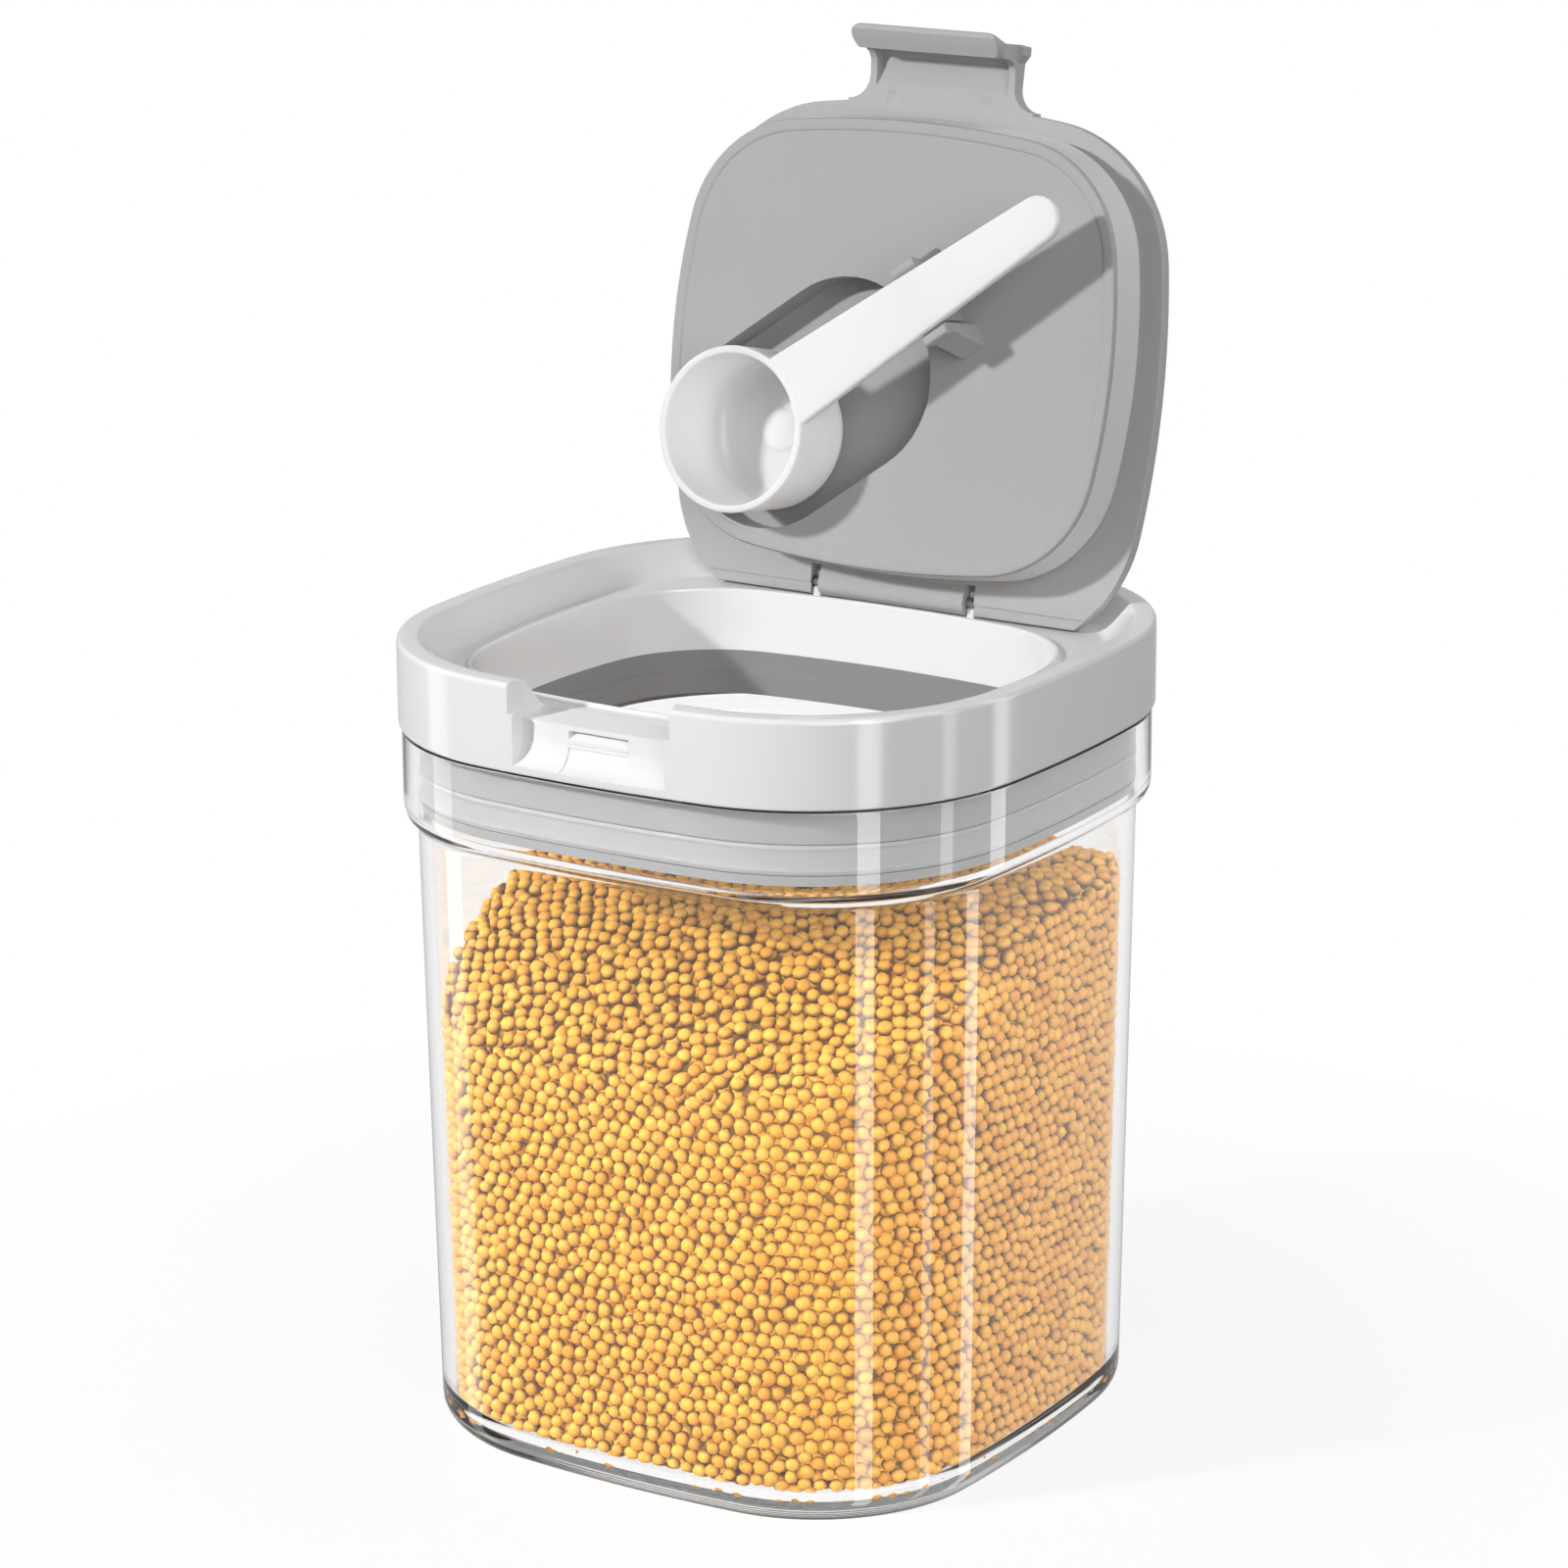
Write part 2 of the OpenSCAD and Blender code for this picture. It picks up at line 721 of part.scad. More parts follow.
module lid_plug() {
    saddle_top = rim_drop - handle_t - scoop_gap;
    color("#b4b4b6")
        opened() {
            difference() {
                skin([
                    at(open_line(-plug_gap - face_bead), plug_face_z + face_sink),
                    at(open_line(-plug_gap - face_bead + 0.5), plug_face_z),
                    at(open_line(-plug_gap - 0.7), plug_face_z),
                    at(open_line(-plug_gap - 0.1), plug_face_z + 0.4),
                    at(open_line(-plug_gap), plug_face_z + 1.2),
                    at(open_line(-plug_gap - 1.3), plug_face_z + 1.4),
                    at(open_line(-plug_gap - 1.3), lid_under_z - 1.2),
                    at(open_line(-plug_gap), lid_under_z - 1),
                    at(open_line(-plug_gap), lid_under_z)
                ]);
                // Hollow inside, open towards the shell
                difference() {
                    translate([0, 0, plug_face_z + plug_wall])
                        linear_extrude(plug_h)
                            polygon(open_line(-plug_gap - 1.3 - plug_wall));
                    scoop_place()
                        translate([0, 0, plug_h - pocket_depth - plug_wall])
                            linear_extrude(plug_h)
                                pocket_plan(plug_wall);
                }
                // Pocket that takes the scoop's bowl
                scoop_place()
                    translate([0, 0, plug_h - pocket_depth])
                        linear_extrude(plug_h)
                            pocket_plan();
            }
            scoop_place() {
                for (side = [-1, 1])
                    clip(side);
                // Saddle under the handle, between the clips
                translate([41.5 - 0.8, -4, clip_foot])
                    cube([1.6, 8, saddle_top - clip_foot]);
            }
        }
}

module lid_seal() {
    inner = -plug_gap - 1.3 + 0.05;
    low = plug_face_z + 1.45;
    high = lid_under_z - 1.25;
    lip = -seal_gap - 0.1;
    color("#bcbcbe")
        opened()
            skin([
                at(open_line(inner), low),
                at(open_line(-plug_gap - 0.1), low),
                at(open_line(-plug_gap), low + 0.4),
                at(open_line(-plug_gap + 0.2), high - 4.2),
                at(open_line(lip), high - 1.6),
                at(open_line(lip - 0.1), high - 1.1),
                at(open_line(-plug_gap), high - 0.6),
                at(open_line(-plug_gap), high),
                at(open_line(inner), high)
            ], loop = true);
}

module handle_plan(inset = 0) {
    hull() {
        translate([bowl_r - 2.5, 0])
            circle(handle_root - inset);
        translate([handle_l, 0])
            circle(handle_tip - inset);
    }
}

module scoop() {
    bottom_r = 4.5;
    color("#f6f6f6")
        opened()
            scoop_place()
                translate([bowl_along, 0, rim_drop])
                    mirror([0, 0, 1]) {
                        // Bowl, a turned cup with a rounded bottom and a raised dot in it
                        rotate_extrude()
                            polygon(concat(
                                [[0, bowl_h]],
                                [for (t = [0 : 15 : 90])
                                    [bowl_r - 0.6 - bottom_r + bottom_r * sin(t),
                                     bowl_h - bottom_r + bottom_r * cos(t)]],
                                [[bowl_r, 0], [bowl_r - 0.4, -0.3],
                                 [bowl_r - bowl_wall + 0.4, -0.3], [bowl_r - bowl_wall, 0]],
                                [for (t = [90 : -15 : 0])
                                    [bowl_r - 0.6 - bottom_r + (bottom_r - bowl_wall) * sin(t),
                                     bowl_h - bottom_r + (bottom_r - bowl_wall) * cos(t)]],
                                [[3.7, bowl_h - bowl_wall], [3.4, bowl_h - bowl_wall - 0.6],
                                 [0, bowl_h - bowl_wall - 0.6]]
                            ));
                        // Handle, cut away inside the bowl
                        difference() {
                            union() {
                                linear_extrude(handle_t)
                                    handle_plan();
                                translate([handle_l - 8, 0, handle_t - e])
                                    cylinder(h = 1, r = 2.2);
                            }
                            translate([0, 0, -1])
                                cylinder(h = handle_t + 2, r = bowl_r - 0.5);
                        }
                    }
}

jar_body();
collar_frame();
neck_ring();
neck_seal();
hinge_pin();
lid_shell();
lid_plug();
lid_seal();
scoop();
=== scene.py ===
# %% [markdown]
# # A cereal keeper, dressed for its photograph
# The object is a clear soft-square jar with a white collar, a grey flip lid that leans back
# on its hinge, a scoop clipped under the lid, and a filling of round golden grains.
# The measured model is loaded first, and every piece made here rides on one of its bodies.

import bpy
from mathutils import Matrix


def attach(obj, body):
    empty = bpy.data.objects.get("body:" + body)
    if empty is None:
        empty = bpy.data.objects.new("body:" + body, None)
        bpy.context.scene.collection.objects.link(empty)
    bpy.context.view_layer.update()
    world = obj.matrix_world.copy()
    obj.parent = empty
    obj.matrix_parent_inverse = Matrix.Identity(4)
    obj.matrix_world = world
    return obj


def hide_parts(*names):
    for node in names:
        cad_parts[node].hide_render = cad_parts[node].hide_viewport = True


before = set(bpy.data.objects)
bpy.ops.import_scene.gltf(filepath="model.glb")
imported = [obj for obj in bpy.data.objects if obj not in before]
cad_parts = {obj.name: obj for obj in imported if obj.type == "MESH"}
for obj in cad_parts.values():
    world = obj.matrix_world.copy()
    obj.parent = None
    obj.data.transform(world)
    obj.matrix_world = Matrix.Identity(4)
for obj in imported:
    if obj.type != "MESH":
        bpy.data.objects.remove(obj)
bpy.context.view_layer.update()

# %% [markdown]
# Everything is planned in millimetres, because that is how a plastic part is drawn, and it
# turns to metres only when points are handed to Blender.

# %% Tools and units
from math import acos, asin, atan2, cos, degrees, hypot, pi, radians, sin, sqrt, tau

import bmesh
import bpy
import numpy as np
from mathutils import Matrix, Vector, kdtree, noise

MM = 0.001
SLIVER = 0.00001


def clear_selection():
    if bpy.context.object and bpy.context.object.mode != "OBJECT":
        bpy.ops.object.mode_set(mode="OBJECT")
    bpy.ops.object.select_all(action="DESELECT")


def pick(piece):
    clear_selection()
    piece.select_set(True)
    bpy.context.view_layer.objects.active = piece


clear_selection()

# %% [markdown]
# ## The camera
# The photograph was taken from the front right and a little above, with a long lens, so the
# upright edges stay almost parallel. The camera is placed by the angles that fit the picture.

# %% Camera at the photograph's angle
VIEW_AZIMUTH, VIEW_ELEVATION, VIEW_ROLL = 32.308, 15.935, -0.332
VIEW_DISTANCE = 933.9
VIEW_TARGET = Vector((0.91, 0, 115.48))
FOCAL_PIXELS, PHOTO_PIXELS = 5408.4, 1600

turn, lift, roll = (radians(a) for a in (VIEW_AZIMUTH, VIEW_ELEVATION, VIEW_ROLL))
back = Vector((sin(turn) * cos(lift), -cos(turn) * cos(lift), sin(lift)))
level_right = Vector((cos(turn), sin(turn), 0))
level_up = back.cross(level_right)
right = level_right * cos(roll) + level_up * sin(roll)
up = level_up * cos(roll) - level_right * sin(roll)
bpy.ops.object.camera_add()
camera = bpy.context.object
camera.name = "photo_camera"
camera.data.sensor_width = 36
camera.data.lens = FOCAL_PIXELS / PHOTO_PIXELS * 36
place = (VIEW_TARGET + back * VIEW_DISTANCE) * MM
camera.matrix_world = Matrix.Translation(place) @ Matrix((right, up, back)).transposed().to_4x4()
bpy.context.scene.camera = camera
print("lens", round(camera.data.lens, 1), "mm")

# %% [markdown]
# ## The soft square
# Jar, collar, mouth and lid all follow one kind of outline: four slightly bulged sides joined
# by large corner arcs. One function draws it, so that the parts sit inside each other with
# even gaps, as they do when one mould designer draws them all.


# %% Outline of a soft square
SIDE_STEPS, CORNER_STEPS = 6, 18


def arc_radius(half, rise):
    return (half * half + rise * rise) / (2 * rise)


def soft_square(hx, hy, r, sag, shift=0.0):
    """Points of the outline in mm, round from +X through +Y. shift moves it to the front."""
    cx, cy = hx - r - sag, hy - r - sag
    rx, ry = arc_radius(cy, sag), arc_radius(cx, sag)
    tx, ty = asin(cy / rx), asin(cx / ry)
    quarter = []
    for i in range(SIDE_STEPS):
        t = tx * i / SIDE_STEPS
        quarter.append((hx - r - rx + (rx + r) * cos(t), (rx + r) * sin(t)))
    for i in range(CORNER_STEPS):
        t = tx + (pi / 2 - ty - tx) * i / CORNER_STEPS
        quarter.append((cx + r * cos(t), cy + r * sin(t)))
    for i in range(SIDE_STEPS + 1):
        t = ty * (1 - i / SIDE_STEPS)
        quarter.append(((ry + r) * sin(t), hy - r - ry + (ry + r) * cos(t)))
    there, back_again = quarter[:-1], quarter[:0:-1]
    points = there + [(-x, y) for x, y in back_again]
    points += [(-x, -y) for x, y in there] + [(x, -y) for x, y in back_again]
    return [(x, y - shift) for x, y in points]


def at(outline, z):
    return [Vector((x, y, z)) * MM for x, y in outline]


def rings_of(line, places):
    """One ring of an outline for each inset and height."""
    return [at(line(inset), z) for inset, z in places]


def between(a, b, k):
    return [(p[0] * (1 - k) + q[0] * k, p[1] * (1 - k) + q[1] * k) for p, q in zip(a, b)]


print("points round one outline:", len(soft_square(60, 60, 40, 0.7)))

# %% [markdown]
# A moulded shell like this is easiest to grow ring by ring: add a circle, move it onto the
# first outline, extrude it, move the new ring onto the next outline, and so on down the list.
# Each point carries a number, so that it finds its own place on every ring.


# %% Growing a shell from rings
def new_circle(name, count, fill="NOTHING"):
    clear_selection()
    bpy.ops.mesh.primitive_circle_add(vertices=count, radius=0.05, fill_type=fill)
    piece = bpy.context.object
    piece.name = name
    return piece


def faces_outwards():
    """Turns every face outwards and leaves edit mode."""
    bpy.ops.mesh.select_all(action="SELECT")
    bpy.ops.mesh.normals_make_consistent(inside=False)
    bpy.ops.object.mode_set(mode="OBJECT")


def ring_stack(name, rings, closed=False):
    piece = new_circle(name, len(rings[0]))
    bpy.ops.object.mode_set(mode="EDIT")
    bm = bmesh.from_edit_mesh(piece.data)
    number = bm.verts.layers.int.new("number")
    for i, v in enumerate(bm.verts):
        v[number] = i
        v.co = rings[0][i]
    bmesh.update_edit_mesh(piece.data)
    bpy.ops.mesh.select_all(action="SELECT")
    for ring in rings[1:] + ([rings[0]] if closed else []):
        bpy.ops.mesh.extrude_region_move()
        bm = bmesh.from_edit_mesh(piece.data)
        number = bm.verts.layers.int["number"]
        for v in bm.verts:
            if v.select:
                v.co = ring[v[number]]
        bmesh.update_edit_mesh(piece.data)
    bpy.ops.mesh.select_all(action="SELECT")
    bpy.ops.mesh.remove_doubles(threshold=1e-7)
    if not closed:
        bpy.ops.mesh.fill_holes(sides=0)
    faces_outwards()
    piece.data.name = name
    return piece


# %% [markdown]
# Hoods, recesses and edges are easier as a profile that is pushed to a width. The profile is
# a circle whose points are moved onto it, filled, and then extruded.


# %% Pushing a profile to a width, or a plan to a height
def pushed(name, points, way):
    piece = new_circle(name, len(points), "NGON")
    for v, p in zip(piece.data.vertices, points):
        v.co = Vector(p) * MM
    bpy.ops.object.mode_set(mode="EDIT")
    bpy.ops.mesh.select_all(action="SELECT")
    bpy.ops.mesh.extrude_region_move(TRANSFORM_OT_translate={"value": Vector(way) * MM})
    faces_outwards()
    return piece


def bar(name, profile, low, high):
    return pushed(name, [(low, y, z) for y, z in profile], (high - low, 0, 0))


def slab(name, plan, low, high):
    return pushed(name, [(x, y, low) for x, y in plan], (0, 0, high - low))


def block(name, low, high):
    (x0, y0, z0), (x1, y1, z1) = low, high
    return slab(name, [(x0, y0), (x1, y0), (x1, y1), (x0, y1)], z0, z1)


def rod(name, centre, radius, length, axis="X", points=48):
    clear_selection()
    turned = (0, pi / 2, 0) if axis == "X" else (0, 0, 0)
    bpy.ops.mesh.primitive_cylinder_add(
        vertices=points, radius=radius * MM, depth=length * MM,
        location=Vector(centre) * MM, rotation=turned)
    piece = bpy.context.object
    piece.name = name
    bpy.ops.object.transform_apply(location=True, rotation=True, scale=True)
    return piece


def arc(cy, cz, radius, start, stop, steps=8):
    turns = [radians(start + (stop - start) * i / steps) for i in range(steps + 1)]
    return [(cy + radius * cos(t), cz + radius * sin(t)) for t in turns]


# %% [markdown]
# Pieces are joined and cut with the Boolean modifier, and their sharp edges get the small
# radius that every moulded part has, because it is that radius that catches the light. The
# Weighted Normal modifier then keeps the large faces flat and bends only the small ones,
# without which clear plastic would show bent pictures of what is behind it.


# %% Joining, cutting and softening
def modified(piece, kind, **settings):
    """Adds a modifier with these settings and applies it."""
    pick(piece)
    bpy.ops.object.modifier_add(type=kind)
    step = piece.modifiers[-1]
    for key, value in settings.items():
        setattr(step, key, value)
    bpy.ops.object.modifier_apply(modifier=step.name)


def combine(piece, tool, how):
    modified(piece, "BOOLEAN", operation=how, solver="EXACT", object=tool)
    bpy.data.objects.remove(tool, do_unlink=True)


def cut(piece, tool):
    combine(piece, tool, "DIFFERENCE")


def join(piece, tool):
    combine(piece, tool, "UNION")


def trim(piece, tool):
    combine(piece, tool, "INTERSECT")


def merged(piece):
    """Removes the slivers that cuts leave."""
    pick(piece)
    bpy.ops.object.mode_set(mode="EDIT")
    bpy.ops.mesh.select_all(action="SELECT")
    bpy.ops.mesh.remove_doubles(threshold=SLIVER)
    bpy.ops.mesh.dissolve_degenerate(threshold=SLIVER)
    bpy.ops.object.mode_set(mode="OBJECT")


def softened(piece, width, segments=2, sharper_than=32):
    modified(piece, "BEVEL", width=width * MM, segments=segments, limit_method="ANGLE",
             angle_limit=radians(sharper_than))


def placed(piece, matrix):
    piece.data.transform(matrix)
    piece.data.update()
    return piece


def dressed(piece, body, material, nodes=(), smooth=32):
    """Smooths the piece, gives it its material, and lets it ride on its body."""
    pick(piece)
    bpy.ops.object.shade_smooth_by_angle(angle=radians(smooth))
    modified(piece, "WEIGHTED_NORMAL", weight=100, keep_sharp=True)
    piece.data.materials.clear()
    piece.data.materials.append(material)
    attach(piece, body)
    if nodes:
        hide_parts(*nodes)
    clear_selection()
    print(piece.name, "has", len(piece.data.polygons), "faces")


# %% [markdown]
# ## Materials
# Each material starts from the real one and how its surface was made. Colours are written as
# sRGB hex values, and one function turns them into the linear values that nodes expect.


# %% Colour and node helpers
def hex_colour(text):
    channels = [int(text[i:i + 2], 16) / 255 for i in (1, 3, 5)]
    linear = [c / 12.92 if c <= 0.04045 else ((c + 0.055) / 1.055) ** 2.4 for c in channels]
    return (*linear, 1.0)


def new_material(name):
    material = bpy.data.materials.new(name)
    material.use_nodes = True
    material.node_tree.nodes.clear()
    return material


def node(owner, kind, inputs=None, **settings):
    """Adds a node. A value in inputs is set on its socket, and an output socket is linked."""
    made = owner.node_tree.nodes.new("ShaderNode" + kind)
    for key, value in settings.items():
        setattr(made, key, value)
    for key, value in (inputs or {}).items():
        if isinstance(value, bpy.types.NodeSocket):
            owner.node_tree.links.new(value, made.inputs[key])
        else:
            made.inputs[key].default_value = value
    return made


# In a Mix node set to colour, these inputs are the share and the two colours.
SHARE, FIRST, SECOND = 0, 6, 7


# %% [markdown]
# Moulded plastic is never one flat colour. Up close it has a fine texture from the mould,
# and over the whole part its shade drifts a little where the melt flowed.


# %% Moulded opaque plastics
def moulded_plastic(name, shade, darker, roughness, grain_mm, grain_depth, ior=1.49, spread=0.12,
                    milky=0.0):
    material = new_material(name)
    coords = node(material, "TexCoord").outputs["Object"]
    flow = node(material, "TexNoise", {"Vector": coords, "Scale": 1 / (35 * MM), "Detail": 2.0,
                                       "Roughness": 0.4})
    colour = node(material, "Mix", {SHARE: flow.outputs["Fac"], FIRST: hex_colour(shade),
                                    SECOND: hex_colour(darker)}, data_type="RGBA")
    grain = node(material, "TexNoise", {"Vector": coords, "Scale": 1 / (grain_mm * MM), "Detail": 3.0})
    gloss = node(material, "MapRange", {
        "Value": grain.outputs["Fac"], "From Min": 0.3, "From Max": 0.7,
        "To Min": roughness * (1 - spread), "To Max": roughness * (1 + spread)})
    bump = node(material, "Bump", {"Height": grain.outputs["Fac"], "Strength": 0.25,
                                   "Distance": grain_depth * MM})
    surface = node(material, "BsdfPrincipled", {
        "Base Color": colour.outputs[2], "Roughness": gloss.outputs["Result"],
        "IOR": ior, "Normal": bump.outputs["Normal"], "Subsurface Weight": milky,
        "Subsurface Radius": (1.0, 1.0, 1.0), "Subsurface Scale": 6 * MM})
    node(material, "OutputMaterial", {"Surface": surface.outputs["BSDF"]})
    return material


# Collar: ABS, high-gloss mould, so the grain is only a faint orange peel
WHITE_ABS = moulded_plastic("white_abs_moulded", "#ECECEC", "#EAEAEA", 0.14, 2.5, 0.002, spread=0.04)
# Lid shell: ABS with a satin mould texture
GREY_ABS = moulded_plastic("grey_abs_satin", "#B0B0B0", "#ACACAC", 0.5, 0.7, 0.02)
# Plug: the same grey, matt where it faces the food
PLUG_ABS = moulded_plastic("grey_abs_matt", "#ABABAB", "#A7A7A7", 0.65, 0.6, 0.02)
# Neck ring: polypropylene, a shade darker, with a soft sheen
RING_PP = moulded_plastic("grey_polypropylene", "#8E8E8E", "#8A8A8A", 0.4, 0.9, 0.02)
# Seals: silicone rubber, quite dull, the lower one in the ring's own grey
SILICONE = moulded_plastic("grey_silicone", "#989898", "#949494", 0.6, 0.5, 0.015, 1.41)
PALE_SILICONE = moulded_plastic("pale_silicone", "#DADADA", "#D6D6D6", 0.55, 0.5, 0.015, 1.41)
# Rim gap: a black ring, painted shadow of the gap under the collar, of which only an edge shows
GAP_SHADOW_BLACK = moulded_plastic("black_painted_gap_shadow", "#141414", "#1A1A1A", 0.55, 0.5, 0.01, 1.41)
# Scoop: polypropylene, with a waxy gloss, and milky, so that light comes through its thin wall
SCOOP_PP = moulded_plastic("white_polypropylene", "#F3F3F3", "#F1F1F1", 0.3, 0.8, 0.004, spread=0.05,
                           milky=0.7)


# %% [markdown]
# The jar is clear styrene-acrylonitrile. Cycles treats a lamp's ray as blocked by refracting
# plastic, so the surface turns transparent for those rays and the grains stay lit.


# %% Clear jar plastic
def clear_plastic():
    material = new_material("clear_styrene_moulded")
    coords = node(material, "TexCoord").outputs["Object"]
    wave = node(material, "TexNoise", {"Vector": coords, "Scale": 1 / (30 * MM), "Detail": 1.0})
    bump = node(material, "Bump", {"Height": wave.outputs["Fac"], "Strength": 0.15,
                                   "Distance": 0.05 * MM})
    clear = node(material, "BsdfPrincipled", {
        "Base Color": hex_colour("#FEFEFE"), "Roughness": 0.01, "IOR": 1.5,
        "Transmission Weight": 1.0, "Normal": bump.outputs["Normal"]})
    open_air = node(material, "BsdfTransparent", {"Color": hex_colour("#F7F7F7")})
    path = node(material, "LightPath")
    through = node(material, "MixShader", {"Fac": path.outputs["Is Shadow Ray"],
                                           1: clear.outputs["BSDF"], 2: open_air.outputs["BSDF"]})
    node(material, "OutputMaterial", {"Surface": through.outputs["Shader"]})
    return material


CLEAR = clear_plastic()


# %% [markdown]
# The hinge pin is drawn stainless wire: drawing leaves fine lines along it.


# %% Drawn steel
def drawn_steel():
    material = new_material("stainless_wire_drawn")
    coords = node(material, "TexCoord").outputs["Object"]
    long_ways = node(material, "Mapping", {"Vector": coords, "Scale": (40.0, 4000.0, 4000.0)})
    lines = node(material, "TexNoise", {"Vector": long_ways.outputs["Vector"], "Scale": 1.0,
                                        "Detail": 2.0})
    gloss = node(material, "MapRange", {"Value": lines.outputs["Fac"], "To Min": 0.22, "To Max": 0.42})
    surface = node(material, "BsdfPrincipled", {
        "Base Color": hex_colour("#A4A6A8"), "Metallic": 1.0, "Roughness": gloss.outputs["Result"]})
    node(material, "OutputMaterial", {"Surface": surface.outputs["BSDF"]})
    return material


STEEL = drawn_steel()


# %% [markdown]
# A hulled grain is waxy and slightly translucent, and no two have the same shade. Each grain
# carries its own tone, and the dark pit where it sat on the stalk, as attributes on its points.
# A third attribute says how far a point faces out of the heap, and with it the side of each grain
# that faces in is painted dark: painted shade between the grains.


# %% Grains
def hulled_grain():
    material = new_material("hulled_grain")
    tone = node(material, "Attribute", attribute_name="tone").outputs["Fac"]
    pit = node(material, "Attribute", attribute_name="pit").outputs["Fac"]
    coords = node(material, "TexCoord").outputs["Object"]
    blush = node(material, "TexNoise", {"Vector": coords, "Scale": 1 / (0.9 * MM), "Detail": 2.0})
    body = node(material, "Mix", {SHARE: tone, FIRST: hex_colour("#C97F12"),
                                  SECOND: hex_colour("#F0BC46")}, data_type="RGBA")
    mottled = node(material, "Mix", {SHARE: blush.outputs["Fac"], FIRST: body.outputs[2],
                                     SECOND: hex_colour("#DB962A")}, data_type="RGBA")
    spot = node(material, "MapRange", {"Value": pit, "From Min": 0.45, "From Max": 0.95, "To Max": 0.75})
    spotted = node(material, "Mix", {SHARE: spot.outputs["Result"], FIRST: mottled.outputs[2],
                                     SECOND: hex_colour("#8A5A22")}, data_type="RGBA")
    # Painted shade: a grain turns towards dark brown on the side that faces into the heap.
    facing = node(material, "Attribute", attribute_name="facing").outputs["Fac"]
    painted_light_share = node(material, "MapRange", {"Value": facing, "From Min": -0.25, "From Max": 0.7},
               interpolation_type="SMOOTHSTEP")
    colour = node(material, "Mix", {SHARE: painted_light_share.outputs["Result"], FIRST: hex_colour("#5A3208"),
                                    SECOND: spotted.outputs[2]}, data_type="RGBA")
    surface = node(material, "BsdfPrincipled", {
        "Base Color": colour.outputs[2], "Roughness": 0.42, "IOR": 1.45, "Subsurface Weight": 0.12,
        "Subsurface Scale": 0.6, "Subsurface Radius": (0.0012, 0.0008, 0.0003)})
    node(material, "OutputMaterial", {"Surface": surface.outputs["BSDF"]})
    return material


def deep_shade():
    material = new_material("grains_in_shade")
    coords = node(material, "TexCoord").outputs["Object"]
    cells = node(material, "TexVoronoi", {"Vector": coords, "Scale": 1 / (2.6 * MM)})
    colour = node(material, "Mix", {SHARE: cells.outputs["Distance"], FIRST: hex_colour("#A8701F"),
                                    SECOND: hex_colour("#5E3A10")}, data_type="RGBA")
    surface = node(material, "BsdfPrincipled", {"Base Color": colour.outputs[2], "Roughness": 0.7})
    node(material, "OutputMaterial", {"Surface": surface.outputs["BSDF"]})
    return material


GRAIN = hulled_grain()
GRAIN_SHADE = deep_shade()

# %% [markdown]
# ## The jar
# One injection-moulded wall of about two millimetres. It has a wide neck band for the collar,
# a curved shoulder, a slight draft down to the rounded foot, and a shallow groove underneath.

# %% Jar sizes
JAR_H, NECK_H, JAR_WALL, JAR_FLOOR, FOOT_R = 129.1, 14.7, 2.2, 3.2, 5.0
BODY_HALF, BODY_DRAFT, BODY_SAG = 56.0, 1.65, 0.85
COLLAR_HALF, CORNER_R, COLLAR_SAG = 60.0, 40.6, 0.7
NECK_STEP = 0.6
NECK_INNER = NECK_STEP + JAR_WALL
SHOULDER_Z = JAR_H - NECK_H


def body_line(half, inset=0.0):
    """Outline of the body, or a parallel one inside it."""
    return soft_square(half - inset, half - inset, half * 0.6 - inset, BODY_SAG)


def collar_line(inset):
    half = COLLAR_HALF - inset
    return soft_square(half, half, CORNER_R - inset, COLLAR_SAG)


def body_half_at(z):
    return BODY_HALF - BODY_DRAFT * (SHOULDER_Z - z) / (SHOULDER_Z - FOOT_R)


foot = body_half_at(FOOT_R)
print("half width at the foot:", round(foot, 2), "mm")


# %% [markdown]
# The rounded foot and the shoulder are where clear plastic shows its thickness, so they get
# more rings than the straight walls, and the rings follow true arcs.


# %% Build the jar
def corner_rings(line, half, z, radius, start, stop, steps):
    """Rings along an arc between a wall and a floor. Angle 0 is the wall side."""
    turns = [radians(start + (stop - start) * i / steps) for i in range(steps + 1)]
    return rings_of(line, [(half - radius + radius * cos(t), z - radius * sin(t)) for t in turns])


inner_foot = foot - JAR_WALL


def inner_line(half):
    return body_line(half + JAR_WALL, JAR_WALL)


rings = rings_of(body_line, [(foot - 13.2, 0), (foot - 12.6, 0.25), (foot - 12.3, 0.8),
                             (foot - 8.7, 0.8), (foot - 8.4, 0.25), (foot - 7.8, 0)])
rings += corner_rings(body_line, foot, FOOT_R, FOOT_R, 90, 0, 8)
rings += rings_of(body_line, [(body_half_at(z), z) for z in (40, 75, SHOULDER_Z - 3.2)])
rings += rings_of(body_line, [(BODY_HALF + 0.15, SHOULDER_Z - 2.4), (BODY_HALF + 0.6, SHOULDER_Z - 1.7),
                              (BODY_HALF + 1.4, SHOULDER_Z - 1.1)])
rings += [at(between(body_line(BODY_HALF + 2.2), collar_line(NECK_STEP + 0.9), 0.6), SHOULDER_Z - 0.7)]
rings += rings_of(collar_line, [
    (NECK_STEP + 0.45, SHOULDER_Z - 0.2), (NECK_STEP + 0.12, SHOULDER_Z + 0.4),
    (NECK_STEP, SHOULDER_Z + 1.1), (NECK_STEP, JAR_H - 0.5),
    (NECK_STEP + 0.15, JAR_H - 0.15), (NECK_STEP + 0.5, JAR_H),
    (NECK_INNER - 0.5, JAR_H), (NECK_INNER - 0.15, JAR_H - 0.15),
    (NECK_INNER, JAR_H - 0.5), (NECK_INNER, SHOULDER_Z + 1.2),
    (NECK_INNER + 0.3, SHOULDER_Z + 0.4), (NECK_INNER + 0.9, SHOULDER_Z - 0.3)])
